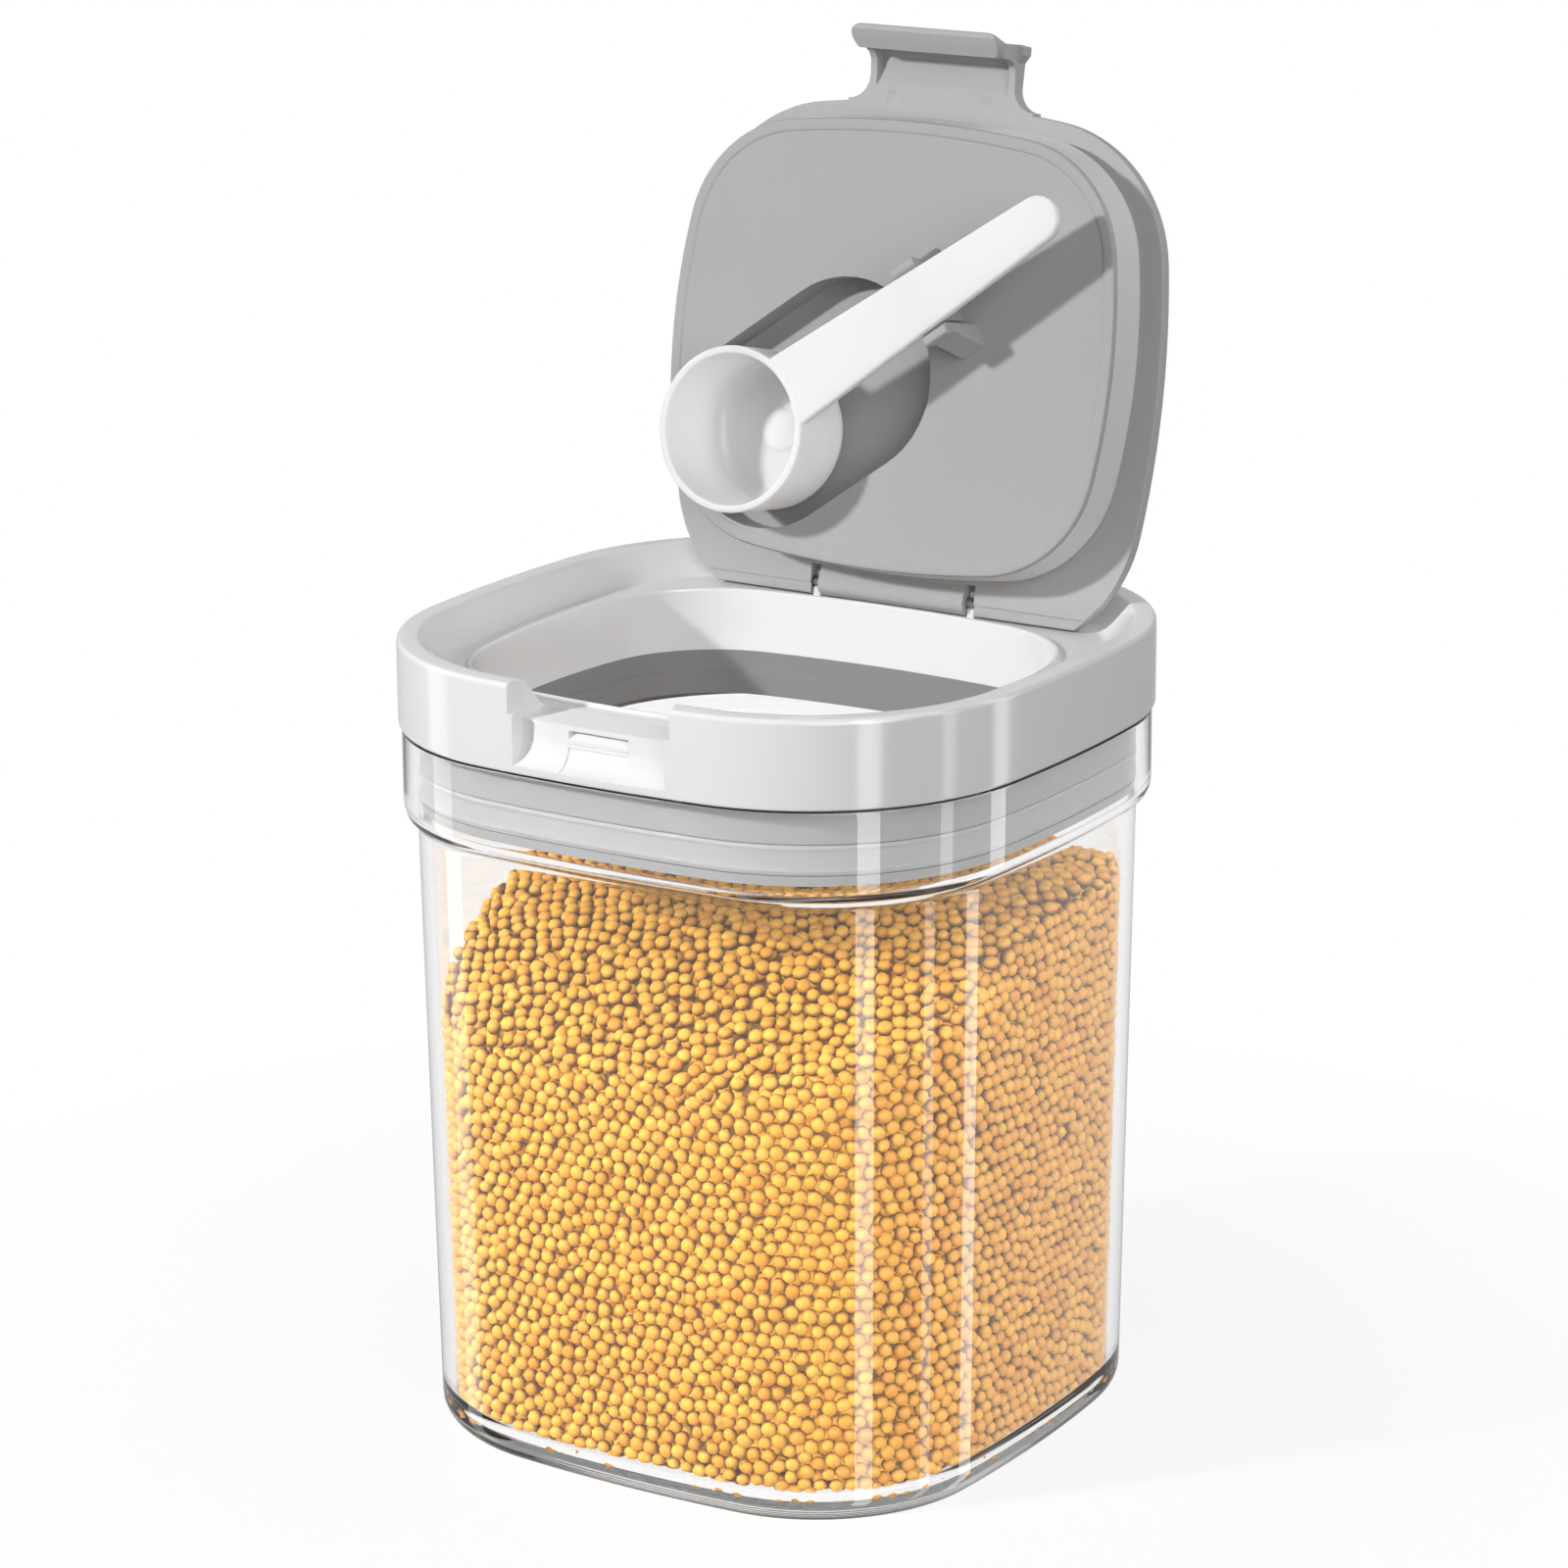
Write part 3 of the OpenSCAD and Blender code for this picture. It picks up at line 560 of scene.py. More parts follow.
rings += [at(body_line(BODY_HALF, JAR_WALL - 0.5), SHOULDER_Z - 1.2),
          at(body_line(BODY_HALF, JAR_WALL - 0.1), SHOULDER_Z - 2.4),
          at(body_line(body_half_at(SHOULDER_Z - 3.2), JAR_WALL), SHOULDER_Z - 3.6)]
rings += [at(body_line(body_half_at(z), JAR_WALL), z) for z in (75, 40)]
rings += corner_rings(inner_line, inner_foot, JAR_FLOOR + FOOT_R, FOOT_R, 0, 90, 8)
jar = ring_stack("jar", rings)
dressed(jar, "jar", CLEAR, ["jar_body"], smooth=50)

# %% [markdown]
# ## The collar
# A white ring that is hollow underneath, like the real moulding. Its rim has a flat top, then
# a hollow slope runs down to the deck, and a fine raised lip surrounds the mouth.

# %% Collar sizes
COLLAR_Z = JAR_H + 0.3
RIM_Z = COLLAR_Z + 15.6
DECK_Z = RIM_Z - 5.8
LIP_Z = DECK_Z + 0.65
INNER_BOTTOM_Z = LIP_Z - 11.45
MOUTH_SIDE, MOUTH_FRONT, MOUTH_REAR = 13.26, 13.93, 23.53
OPEN_X = COLLAR_HALF - MOUTH_SIDE
OPEN_Y = COLLAR_HALF - (MOUTH_FRONT + MOUTH_REAR) / 2
OPEN_SHIFT = (MOUTH_REAR - MOUTH_FRONT) / 2
OPEN_R, OPEN_SAG = 23.6, 1.36
HINGE_Y = OPEN_Y - OPEN_SHIFT + 3.13
UNDER_Z = LIP_Z + 0.35
LID_TOP_Z = UNDER_Z + 3
HINGE_Z = UNDER_Z + 1.55
LID_FRONT = OPEN_SHIFT + OPEN_Y + 2.6
LID_REAR = HINGE_Y + 9.2
LID_HALF_X, LID_HALF_Y = OPEN_X + 2.96, (LID_FRONT + LID_REAR) / 2
LID_SHIFT = (LID_FRONT - LID_REAR) / 2


def open_line(outset):
    return soft_square(OPEN_X + outset, OPEN_Y + outset, OPEN_R + outset, OPEN_SAG, OPEN_SHIFT)


def lid_line(inset):
    return soft_square(LID_HALF_X - inset, LID_HALF_Y - inset, 27 - inset, OPEN_SAG, LID_SHIFT)


print("hinge axis at y", round(HINGE_Y, 2), "z", round(HINGE_Z, 2))

# %% Collar ring
WALL = 2.2
deck_edge = lid_line(-1.5)
slope_top = collar_line(4.1)
slope = [(0.0, 0.25), (0.16, 1.2), (0.34, 2.45), (0.52, 3.65), (0.7, 4.7), (0.86, 5.4)]
rings = rings_of(collar_line, [
    (WALL, COLLAR_Z), (0.55, COLLAR_Z), (0.16, COLLAR_Z + 0.16), (0, COLLAR_Z + 0.55),
    (0, RIM_Z - 1.0), (0.12, RIM_Z - 0.55), (0.4, RIM_Z - 0.18), (0.9, RIM_Z), (3.3, RIM_Z),
    (3.75, RIM_Z - 0.06)])
rings += [at(between(slope_top, deck_edge, k), RIM_Z - drop) for k, drop in slope]
rings += [at(deck_edge, DECK_Z + 0.12), at(lid_line(-1.0), DECK_Z)]
rings += rings_of(open_line, [
    (1.45, DECK_Z), (1.2, DECK_Z + 0.12), (1.0, LIP_Z - 0.2), (0.75, LIP_Z), (0.45, LIP_Z),
    (0.12, LIP_Z - 0.14), (0, LIP_Z - 0.5), (-0.3, INNER_BOTTOM_Z), (WALL, INNER_BOTTOM_Z),
    (WALL, DECK_Z - WALL)])
rings += [at(between(collar_line(WALL), deck_edge, 0.6), DECK_Z - WALL),
          at(collar_line(WALL), RIM_Z - WALL - 1.5)]
collar = ring_stack("collar", rings, closed=True)

# %% [markdown]
# The latch sits in a recess in the front of the collar. The cutter has the recess's own side
# view, so one cut gives the seat, the hollow and the run-out at its foot. In the middle are
# the catch's slot with its ridge and, under it, a shallow panel, cut by the same side view
# set back by a third of a millimetre.

# %% Latch recess
RECESS_HALF, RECESS_DEPTH = 15.3, 3.7
FRONT_Y = -COLLAR_HALF
BACK_Y = FRONT_Y + RECESS_DEPTH
RECESS_Z = COLLAR_Z + 1.4
backing = [(FRONT_Y + 1, COLLAR_Z), (FRONT_Y + 1, RIM_Z - 1.2), (FRONT_Y + 3.8, RIM_Z - 1.2),
           (FRONT_Y + 6.1, RIM_Z - 3.6), (FRONT_Y + 8.5, DECK_Z - 0.6),
           (FRONT_Y + 8.5, DECK_Z - WALL - 1), (FRONT_Y + 7.1, COLLAR_Z)]
join(collar, bar("backing", backing, -RECESS_HALF - 3, RECESS_HALF + 3))
recess = [(FRONT_Y - 3, RIM_Z + 2), (FRONT_Y - 3, RECESS_Z), (FRONT_Y - 0.01, RECESS_Z),
          (FRONT_Y + 1.2, RECESS_Z + 0.45), (FRONT_Y + 2.2, RECESS_Z + 1.2),
          (FRONT_Y + 3, RECESS_Z + 2.4), (BACK_Y - 0.15, RECESS_Z + 4.2), (BACK_Y, LIP_Z - 1.45),
          (-LID_FRONT - 1.4, DECK_Z + 0.1), (-LID_FRONT - 1.4, RIM_Z + 2)]
cut(collar, bar("recess_cutter", recess, -RECESS_HALF, RECESS_HALF))
flare = [(RECESS_HALF - 1, FRONT_Y - 1), (RECESS_HALF + 1.0, FRONT_Y - 1),
         (RECESS_HALF + 1.0, FRONT_Y + 2.0), (RECESS_HALF, FRONT_Y + 3.6), (RECESS_HALF - 1, FRONT_Y + 3.9)]
for side in (-1, 1):
    plan = [(side * x, y) for x, y in flare]
    cut(collar, slab("flare_cutter", plan, LIP_Z - 0.1, RIM_Z + 5))
CATCH_HALF, SLOT_TOP, SLOT_H = 6, LIP_Z - 2.3, 1.7
slot_floor = SLOT_TOP - SLOT_H
slot = [(FRONT_Y - 2, SLOT_TOP), (BACK_Y + 1.3, SLOT_TOP), (BACK_Y + 1.3, SLOT_TOP - 0.6),
        (BACK_Y - 0.25, slot_floor), (FRONT_Y - 2, slot_floor)]
cut(collar, bar("slot_cutter", slot, -CATCH_HALF, CATCH_HALF))
panel = bar("panel_cutter", [(y + 0.35, z) for y, z in recess], -CATCH_HALF, CATCH_HALF)
trim(panel, block("panel_limit", (-CATCH_HALF - 1, FRONT_Y - 1, COLLAR_Z + 0.7),
                  (CATCH_HALF + 1, BACK_Y + 3, slot_floor - 1.2)))
cut(collar, panel)
ridge = [(BACK_Y + 0.8, slot_floor + 0.6), (BACK_Y - 0.25, slot_floor),
         (BACK_Y - 0.25, slot_floor - 0.5), (BACK_Y + 0.8, slot_floor - 1.8)]
join(collar, bar("catch_ridge", ridge, -CATCH_HALF, CATCH_HALF))
merged(collar)

# %% [markdown]
# Two small lugs beside the lid's knuckle carry the hinge pin. Each is a hook that is open
# towards the front, so that the pin can be pressed in.

# %% Hinge lugs
KNUCKLE_HALF, LUG_T, HINGE_GAP, PIN_R = 15.2, 1.4, 0.3, 1.0
KNUCKLE_R = HINGE_Z - DECK_Z - 0.27
hook_r = KNUCKLE_R - 0.3
bore = PIN_R + 0.02
hook = arc(HINGE_Y, HINGE_Z, hook_r, 0, 79, 10) + arc(HINGE_Y, HINGE_Z, bore, 79, -125, 18)
hook += [(HINGE_Y - 0.9, HINGE_Z - 1.15), (HINGE_Y - 1.1, DECK_Z - 1), (HINGE_Y + hook_r, DECK_Z - 1)]
hook = [p for i, p in enumerate(hook) if p != hook[i - 1]]
for side in (-1, 1):
    middle = side * (KNUCKLE_HALF + HINGE_GAP + LUG_T / 2)
    join(collar, bar("lug", hook, middle - LUG_T / 2, middle + LUG_T / 2))
merged(collar)
softened(collar, 0.22)
dressed(collar, "collar", WHITE_ABS, ["collar_frame"])

# %% [markdown]
# A thin black ring lies between the collar and the jar's rim, as painted shadow of the gap there.
# Seen from outside it is only a crisp dark line, two fifths of a millimetre high.

# %% Rim gap shadow, painted as a black ring
under = COLLAR_Z - 0.01
rings = rings_of(collar_line, [(0.62, JAR_H - 0.08), (0.62, under), (2.1, under),
                               (2.1, JAR_H + 0.04), (1.2, JAR_H + 0.04), (0.85, JAR_H - 0.06)])
# A black ring that paints the shadow of the gap between the collar and the rim.
gap_shadow_ring = ring_stack("rim_gap_shadow", rings, closed=True)
dressed(gap_shadow_ring, "collar", GAP_SHADOW_BLACK)

# %% [markdown]
# ## The neck ring
# Under the collar a grey ring reaches into the jar's neck. A silicone band round it seals
# against the jar, and shows through the clear neck as two fine lines.

# %% Neck ring and its seal
ring_foot = INNER_BOTTOM_Z - 12.6
ring_inner_foot = INNER_BOTTOM_Z - 8.1
outer, groove, web = NECK_INNER + 0.6, NECK_INNER + 1.5, 1.8
seal_foot, seal_top = ring_foot + 1.8, ring_foot + 7.2
top = INNER_BOTTOM_Z
rings = rings_of(open_line, [(-0.9, ring_inner_foot), (-0.9, top - 4), (-0.5, top - 3.7), (-0.5, top)])
rings += rings_of(collar_line, [
    (outer, top), (outer, seal_top + 0.1), (outer + 0.1, seal_top), (groove, seal_top),
    (groove, seal_foot), (outer, seal_foot), (outer + 0.3, ring_foot),
    (groove + web, ring_foot), (groove + web, top - web)])
rings += rings_of(open_line, [(web - 0.9, top - web), (web - 0.9, ring_inner_foot)])
neck_ring = ring_stack("neck_ring_piece", rings, closed=True)
softened(neck_ring, 0.2)
dressed(neck_ring, "collar", RING_PP, ["neck_ring"])

inner, lip_inset = NECK_INNER + 1.45, NECK_INNER + 0.4
rings = rings_of(collar_line, [
    (inner, seal_foot + 0.05), (inner, seal_foot + 5.35), (lip_inset + 0.25, seal_foot + 5.3),
    (lip_inset, seal_foot + 4.7), (lip_inset + 0.25, seal_foot + 4.1),
    (lip_inset + 0.25, seal_foot + 1.5), (lip_inset, seal_foot + 0.9), (lip_inset + 0.25, seal_foot + 0.1)])
neck_seal = ring_stack("neck_seal_piece", rings, closed=True)
softened(neck_seal, 0.12)
dressed(neck_seal, "collar", SILICONE, ["neck_seal"])

# %% [markdown]
# ## The lid
# The lid is modelled shut, where its sizes are easy to read against the collar, and then
# turned back about the hinge to where the photograph shows it.

# %% Turning a piece back to the open lid
LID_SWING = radians(101)


def opened(piece):
    hinge = Matrix.Translation(Vector((0, HINGE_Y, HINGE_Z)) * MM)
    placed(piece, hinge @ Matrix.Rotation(-LID_SWING, 4, "X") @ hinge.inverted())


# %% Lid plate with its crowned top
EDGE_ABOVE = LID_TOP_Z - HINGE_Z
LEAN = radians(11)
REAR_REACH = (HINGE_Z - DECK_Z - 0.05 - EDGE_ABOVE * sin(LEAN)) / cos(LEAN)
CROWN = 1.55
crown = [(1.0, 0.0), (6, 0.45), (14, 0.8), (24, 1.0)]
rings = rings_of(lid_line, [
    (0.45, UNDER_Z), (0.12, UNDER_Z + 0.12), (0, UNDER_Z + 0.45),
    (0, LID_TOP_Z - 0.9), (0.1, LID_TOP_Z - 0.5), (0.4, LID_TOP_Z - 0.15)])
rings += rings_of(lid_line, [(inset, LID_TOP_Z + CROWN * share) for inset, share in crown])
lid = ring_stack("lid", rings)
cut(lid, block("hinge_trim", (-60, HINGE_Y - 2, UNDER_Z - 5), (60, 70, LID_TOP_Z + 5)))
STEP, ROUND_R = 0.35, 0.5
rear = [(HINGE_Y - 3, UNDER_Z), (HINGE_Y + 0.2, UNDER_Z), (HINGE_Y + 0.2, UNDER_Z + STEP)]
rear += arc(HINGE_Y + REAR_REACH - ROUND_R, UNDER_Z + STEP + ROUND_R, ROUND_R, 270, 360, 6)
rear += [(HINGE_Y + REAR_REACH, LID_TOP_Z), (HINGE_Y - 3, LID_TOP_Z)]
rear_edge = bar("rear_edge", rear, -LID_HALF_X, LID_HALF_X)
trim(rear_edge, slab("lid_plan", lid_line(0.2), UNDER_Z - 4, UNDER_Z + 6))
join(lid, rear_edge)

# %% [markdown]
# The latch hood grows out of the lid's front edge through two hollow fillets and hangs over
# the recess. It is hollow between two cheeks, and its lip, which curls out for the finger,
# has rounded ends.

# %% Latch hood
HOOD_HALF = RECESS_HALF - 0.35
FILLET = 4.2
fillet_y = -LID_FRONT - FILLET + 0.5
half_plan = [(HOOD_HALF + FILLET, -LID_FRONT + 4)]
half_plan += [(HOOD_HALF + FILLET - FILLET * sin(radians(a)),
               fillet_y + FILLET * cos(radians(a))) for a in range(0, 91, 10)]
half_plan += [(HOOD_HALF, FRONT_Y + 3.2), (HOOD_HALF + 1.0, FRONT_Y + 1.8),
              (HOOD_HALF + 1.0, FRONT_Y + 0.5), (HOOD_HALF + 0.7, FRONT_Y + 0.15)]
hood_plan = half_plan + [(-x, y) for x, y in reversed(half_plan)]
join(lid, slab("hood_plate", hood_plan, UNDER_Z, LID_TOP_Z))
inner_y = BACK_Y - 0.35
ridge_z = RECESS_Z + 3.1
flap = [(inner_y + 3.6, UNDER_Z + 0.01), (inner_y + 1.2, UNDER_Z - 0.35),
        (inner_y, UNDER_Z - 1.3), (inner_y - 0.55, UNDER_Z - 2.6),
        (inner_y - 0.6, ridge_z + 1.4), (inner_y - 0.45, ridge_z),
        (inner_y - 2.2, ridge_z - 1.3), (inner_y - 3.7, ridge_z - 2.2),
        (inner_y - 4.5, ridge_z - 2.1), (inner_y - 4.7, ridge_z - 1.5),
        (FRONT_Y - 0.4, ridge_z + 0.2), (FRONT_Y + 0.2, ridge_z + 1.7),
        (FRONT_Y + 0.35, ridge_z + 4), (FRONT_Y, UNDER_Z + 0.5),
        (FRONT_Y, LID_TOP_Z - 0.9), (FRONT_Y + 0.3, LID_TOP_Z - 0.3),
        (FRONT_Y + 1, LID_TOP_Z), (inner_y + 3.6, LID_TOP_Z)]
flap_piece = bar("hood_flap", flap, -HOOD_HALF, HOOD_HALF)
LIP_END_R, TIP_R, lip_tip = 3.4, 2.0, inner_y - 4.7
for side in (-1, 1):
    low_y = lip_tip + TIP_R
    end = [(HOOD_HALF - TIP_R, lip_tip - 2), (HOOD_HALF + 1, lip_tip - 2), (HOOD_HALF + 1, low_y + LIP_END_R)]
    end += arc(HOOD_HALF - LIP_END_R, low_y, LIP_END_R, 90, 0, 14)
    end += arc(HOOD_HALF - TIP_R, low_y, TIP_R, 0, -90, 8)[1:]
    outline = [(side * x, y) for x, y in (end if side > 0 else reversed(end))]
    cut(flap_piece, slab("lip_end", outline, RECESS_Z - 1, RECESS_Z + 4.4))
join(lid, flap_piece)
hollow = [(-LID_FRONT - 2, UNDER_Z - 0.01), (inner_y + 4.6, UNDER_Z + 0.7),
          (inner_y + 2.4, UNDER_Z + 1.4), (inner_y + 0.6, UNDER_Z + 1.5),
          (inner_y - 0.4, UNDER_Z + 0.8), (inner_y - 0.95, UNDER_Z - 0.8),
          (inner_y - 0.95, RECESS_Z + 5.2), (inner_y - 0.6, RECESS_Z + 4.0), (inner_y + 3, RECESS_Z + 4.0)]
cut(lid, bar("hood_hollow", hollow, -HOOD_HALF + 1.3, HOOD_HALF - 1.3))
merged(lid)

# %% [markdown]
# The knuckle turns round the pin between the collar's lugs, so the rear edge is notched
# there. Its barrel runs out into the flange along a tangent, as a moulded hinge does.

# %% Knuckle, notches and dimples
RUN_OUT, rise = 2.9, HINGE_Z - UNDER_Z
touch = 180 + degrees(atan2(rise, RUN_OUT) + acos(KNUCKLE_R / hypot(RUN_OUT, rise)))
barrel = [(HINGE_Y - RUN_OUT, HINGE_Z), (HINGE_Y - RUN_OUT, UNDER_Z)]
barrel += arc(HINGE_Y, HINGE_Z, KNUCKLE_R, touch, 360 + 150, 36)
join(lid, bar("knuckle", barrel, -KNUCKLE_HALF, KNUCKLE_HALF))
notch = LUG_T + 2 * HINGE_GAP
DISH_R, DISH_DEPTH = 4.7, 0.3
for side in (-1, 1):
    middle = side * (KNUCKLE_HALF + notch / 2)
    cut(lid, block("notch", (middle - notch / 2, HINGE_Y - KNUCKLE_R - 1, UNDER_Z - 4),
                     (middle + notch / 2, HINGE_Y + 9, UNDER_Z + 8)))
    bpy.ops.mesh.primitive_uv_sphere_add(segments=48, ring_count=48, radius=DISH_R * MM)
    dish = bpy.context.object
    centre = Vector((side * 9.75, -LID_FRONT - 0.1, UNDER_Z + DISH_DEPTH - DISH_R))
    cut(lid, placed(dish, Matrix.Translation(centre * MM)))
cut(lid, rod("pin_bore", (0, HINGE_Y, HINGE_Z), PIN_R + 0.06, 4 * KNUCKLE_HALF))
merged(lid)
softened(lid, 0.3)
opened(lid)
dressed(lid, "flip_lid", GREY_ABS, ["lid_shell"])

# %% [markdown]
# ## The plug
# A hollow pad under the lid that fills the mouth. A low bead borders its face, a silicone
# ring runs round its side, and a stadium-shaped pocket takes the bowl of the scoop.

# %% Plug pad
PLUG_H, PLUG_GAP, FACE_BEAD, FACE_SINK = 10.5, 1.2, 2.5, 0.3
FACE_Z = UNDER_Z - PLUG_H
bead, side_wall = -PLUG_GAP - FACE_BEAD, -PLUG_GAP
rings = rings_of(open_line, [
    (bead - 0.1, FACE_Z + FACE_SINK), (bead + 0.15, FACE_Z + FACE_SINK), (bead + 0.35, FACE_Z + 0.1),
    (bead + 0.65, FACE_Z), (side_wall - 0.8, FACE_Z), (side_wall - 0.3, FACE_Z + 0.15),
    (side_wall - 0.05, FACE_Z + 0.5), (side_wall, FACE_Z + 1.2), (side_wall - 1.3, FACE_Z + 1.4),
    (side_wall - 1.3, UNDER_Z - 1.2), (side_wall, UNDER_Z - 1), (side_wall, UNDER_Z)])
plug = ring_stack("plug", rings)

# %% [markdown]
# The scoop lies across the lid at an angle, so its pocket and clips are drawn straight, along
# the scoop's own axis, and then turned into place together.

# %% The scoop's own place on the lid
SCOOP_ANGLE = radians(36.3)
AXIS_OFF, BOWL_ALONG, REST_ALONG = 35.9, -2.8, 16.2
BOWL_R, BOWL_H, HANDLE_L, HANDLE_ROOT, HANDLE_TIP, HANDLE_T = 15.0, 18.6, 71.7, 6.8, 4.2, 2.2
RIM_DROP = PLUG_H + 12
scoop_place = (Matrix.Translation(Vector((0, HINGE_Y + 0.4, UNDER_Z)) * MM)
               @ Matrix.Diagonal((1, -1, -1, 1)) @ Matrix.Rotation(SCOOP_ANGLE, 4, "Z")
               @ Matrix.Translation(Vector((0, AXIS_OFF, 0)) * MM))


def stadium(start, stop, radius, steps=24):
    points = []
    for centre, first in ((stop, -90), (start, 90)):
        for i in range(steps + 1):
            t = radians(first + 180 * i / steps)
            points.append((centre + radius * cos(t), radius * sin(t)))
    return points


POCKET_DEPTH = BOWL_H - 12 + 0.3
pocket = slab("pocket", stadium(BOWL_ALONG, REST_ALONG, BOWL_R + 2.85), PLUG_H - POCKET_DEPTH, PLUG_H + 5)
cut(plug, placed(pocket, scoop_place))
softened(plug, 0.3, segments=3, sharper_than=50)

# %% Clips that hold the handle
CLIP_ALONG = 41.5


def handle_half_at(along):
    return HANDLE_ROOT + (HANDLE_TIP - HANDLE_ROOT) * along / HANDLE_L


clip_half = handle_half_at(CLIP_ALONG - BOWL_ALONG) + 0.3
clip_top = RIM_DROP - HANDLE_T * 0.3
for side in (-1, 1):
    profile = [(clip_half, PLUG_H - 0.5), (clip_half + 4.6, PLUG_H - 0.5), (clip_half + 4.4, PLUG_H + 0.8),
               (clip_half + 1.9, clip_top - 3.6), (clip_half + 2.4, clip_top - 1),
               (clip_half + 2, clip_top), (clip_half + 0.8, clip_top), (clip_half, clip_top - 0.9)]
    clip = bar("clip", [(side * y, z) for y, z in profile], CLIP_ALONG - 2.6, CLIP_ALONG + 2.6)
    softened(clip, 0.4, segments=3)
    join(plug, placed(clip, scoop_place))
saddle = block("saddle", (CLIP_ALONG - 0.8, -4, PLUG_H - 0.5),
               (CLIP_ALONG + 0.8, 4, RIM_DROP - HANDLE_T - 0.3))
join(plug, placed(saddle, scoop_place))
merged(plug)
opened(plug)
dressed(plug, "flip_lid", PLUG_ABS, ["lid_plug"])

# %% Lid seal
inner = side_wall - 1.25
low, high, lip_out = FACE_Z + 1.45, UNDER_Z - 1.25, -0.4
rings = rings_of(open_line, [
    (inner, low), (side_wall - 0.15, low), (side_wall, low + 0.35), (side_wall + 0.2, high - 4.2),
    (lip_out, high - 1.6), (lip_out - 0.1, high - 1.1), (side_wall, high - 0.6), (side_wall, high),
    (inner, high)])
lid_seal = ring_stack("lid_seal_piece", rings, closed=True)
softened(lid_seal, 0.12)
opened(lid_seal)
dressed(lid_seal, "flip_lid", PALE_SILICONE, ["lid_seal"])

# %% [markdown]
# ## The scoop
# A turned cup with a straight handle that leaves its rim. The cup is spun from half of its
# section, as on a lathe.


# %% Spin the bowl
def spun(name, profile, steps=72):
    """Moves a circle onto half of a section, drops its edge on the axis, and spins it round Z."""
    piece = new_circle(name, len(profile))
    bpy.ops.object.mode_set(mode="EDIT")
    bm = bmesh.from_edit_mesh(piece.data)
    for v, (r, z) in zip(bm.verts, profile):
        v.co = Vector((r, 0, z)) * MM
    on_axis = [edge for edge in bm.edges if all(v.co.x < 1e-7 for v in edge.verts)]
    bmesh.ops.delete(bm, geom=on_axis, context="EDGES")
    bmesh.update_edit_mesh(piece.data)
    bpy.ops.mesh.select_all(action="SELECT")
    bpy.ops.mesh.spin(steps=steps, angle=tau, center=(0, 0, 0), axis=(0, 0, 1))
    bpy.ops.mesh.select_all(action="SELECT")
    bpy.ops.mesh.remove_doubles(threshold=1e-6)
    faces_outwards()
    return piece


BOTTOM_R, BOWL_WALL = 4.5, 1.4
bend_r, bend_z = BOWL_R - 0.6 - BOTTOM_R, BOWL_H - BOTTOM_R
quarter = [radians(a) for a in range(0, 91, 10)]
outside = [(bend_r + BOTTOM_R * sin(t), bend_z + BOTTOM_R * cos(t)) for t in quarter]
inside = [(bend_r + (BOTTOM_R - BOWL_WALL) * sin(t), bend_z + (BOTTOM_R - BOWL_WALL) * cos(t))
          for t in reversed(quarter)]
inner_r, inner_z = BOWL_R - BOWL_WALL, BOWL_H - BOWL_WALL
profile = [(0, BOWL_H)] + outside
profile += [(BOWL_R, 0.2), (BOWL_R - 0.12, -0.15), (BOWL_R - 0.4, -0.3), (inner_r + 0.4, -0.3),
            (inner_r + 0.12, -0.15), (inner_r, 0.2)] + inside
profile += [(4.0, inner_z), (3.7, inner_z - 0.25), (3.2, inner_z - 0.5), (1.6, inner_z - 0.7),
            (0, inner_z - 0.75)]
scoop = spun("scoop_piece", profile)

# %% Handle
handle_plan = [(HANDLE_L + HANDLE_TIP * cos(radians(a)), HANDLE_TIP * sin(radians(a)))
               for a in range(-85, 86, 5)]
handle_plan += [(BOWL_R - 2.5, HANDLE_ROOT), (BOWL_R - 2.5, -HANDLE_ROOT)]
handle = slab("handle", handle_plan, 0, HANDLE_T)
softened(handle, 0.5, segments=3)
join(handle, rod("boss", (HANDLE_L - 8, 0, HANDLE_T + 0.4), 2.2, 1.2, "Z"))
cut(handle, rod("bowl_space", (0, 0, 1), BOWL_R - 0.5, HANDLE_T + 4, "Z", 72))
join(scoop, handle)
merged(scoop)
above_plate = Matrix.Translation(Vector((BOWL_ALONG, 0, RIM_DROP)) * MM) @ Matrix.Diagonal((1, 1, -1, 1))
placed(scoop, scoop_place @ above_plate)
scoop.data.flip_normals()
opened(scoop)
dressed(scoop, "measuring_scoop", SCOOP_PP, ["scoop"])

# %% Hinge pin
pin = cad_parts["hinge_pin"]
pin.data.materials.clear()
pin.data.materials.append(STEEL)

# %% [markdown]
# ## The grains
# Against clear plastic, grains settle into rows that almost repeat. Points are scattered on
# the jar's inner wall, pushed apart until they are one grain apart, and each takes a grain.
# Only two layers are needed, because a dark core behind them hides the rest.

# %% How high the grains stand
HEAP_TOP, GRAIN_GAP, GRAIN_R = 102.8, 2.76, 1.43
rng = np.random.default_rng(7)


def heap(x, y):
    """Height of the heap in mm: a low dome, highest behind the middle, with small dips."""
    dome = HEAP_TOP - 0.0016 * (x - 12) ** 2 - 0.0058 * (y - 15) ** 2
    wide = noise.noise(Vector((x / 19, y / 19, 3.1)))
    fine = noise.noise(Vector((x / 6, y / 6, 9.4)))
    return dome + 1.6 * wide + 0.5 * fine


def inner_half(z):
    """Half width of the space inside the jar at a height."""
    straight = body_half_at(max(z, JAR_FLOOR + FOOT_R)) - JAR_WALL
    below = JAR_FLOOR + FOOT_R - z
    if below <= 0:
        return straight
    return straight - FOOT_R + sqrt(max(FOOT_R ** 2 - min(below, FOOT_R) ** 2, 0))


print("heap at the front corner:", round(heap(39, -39), 1), "mm")


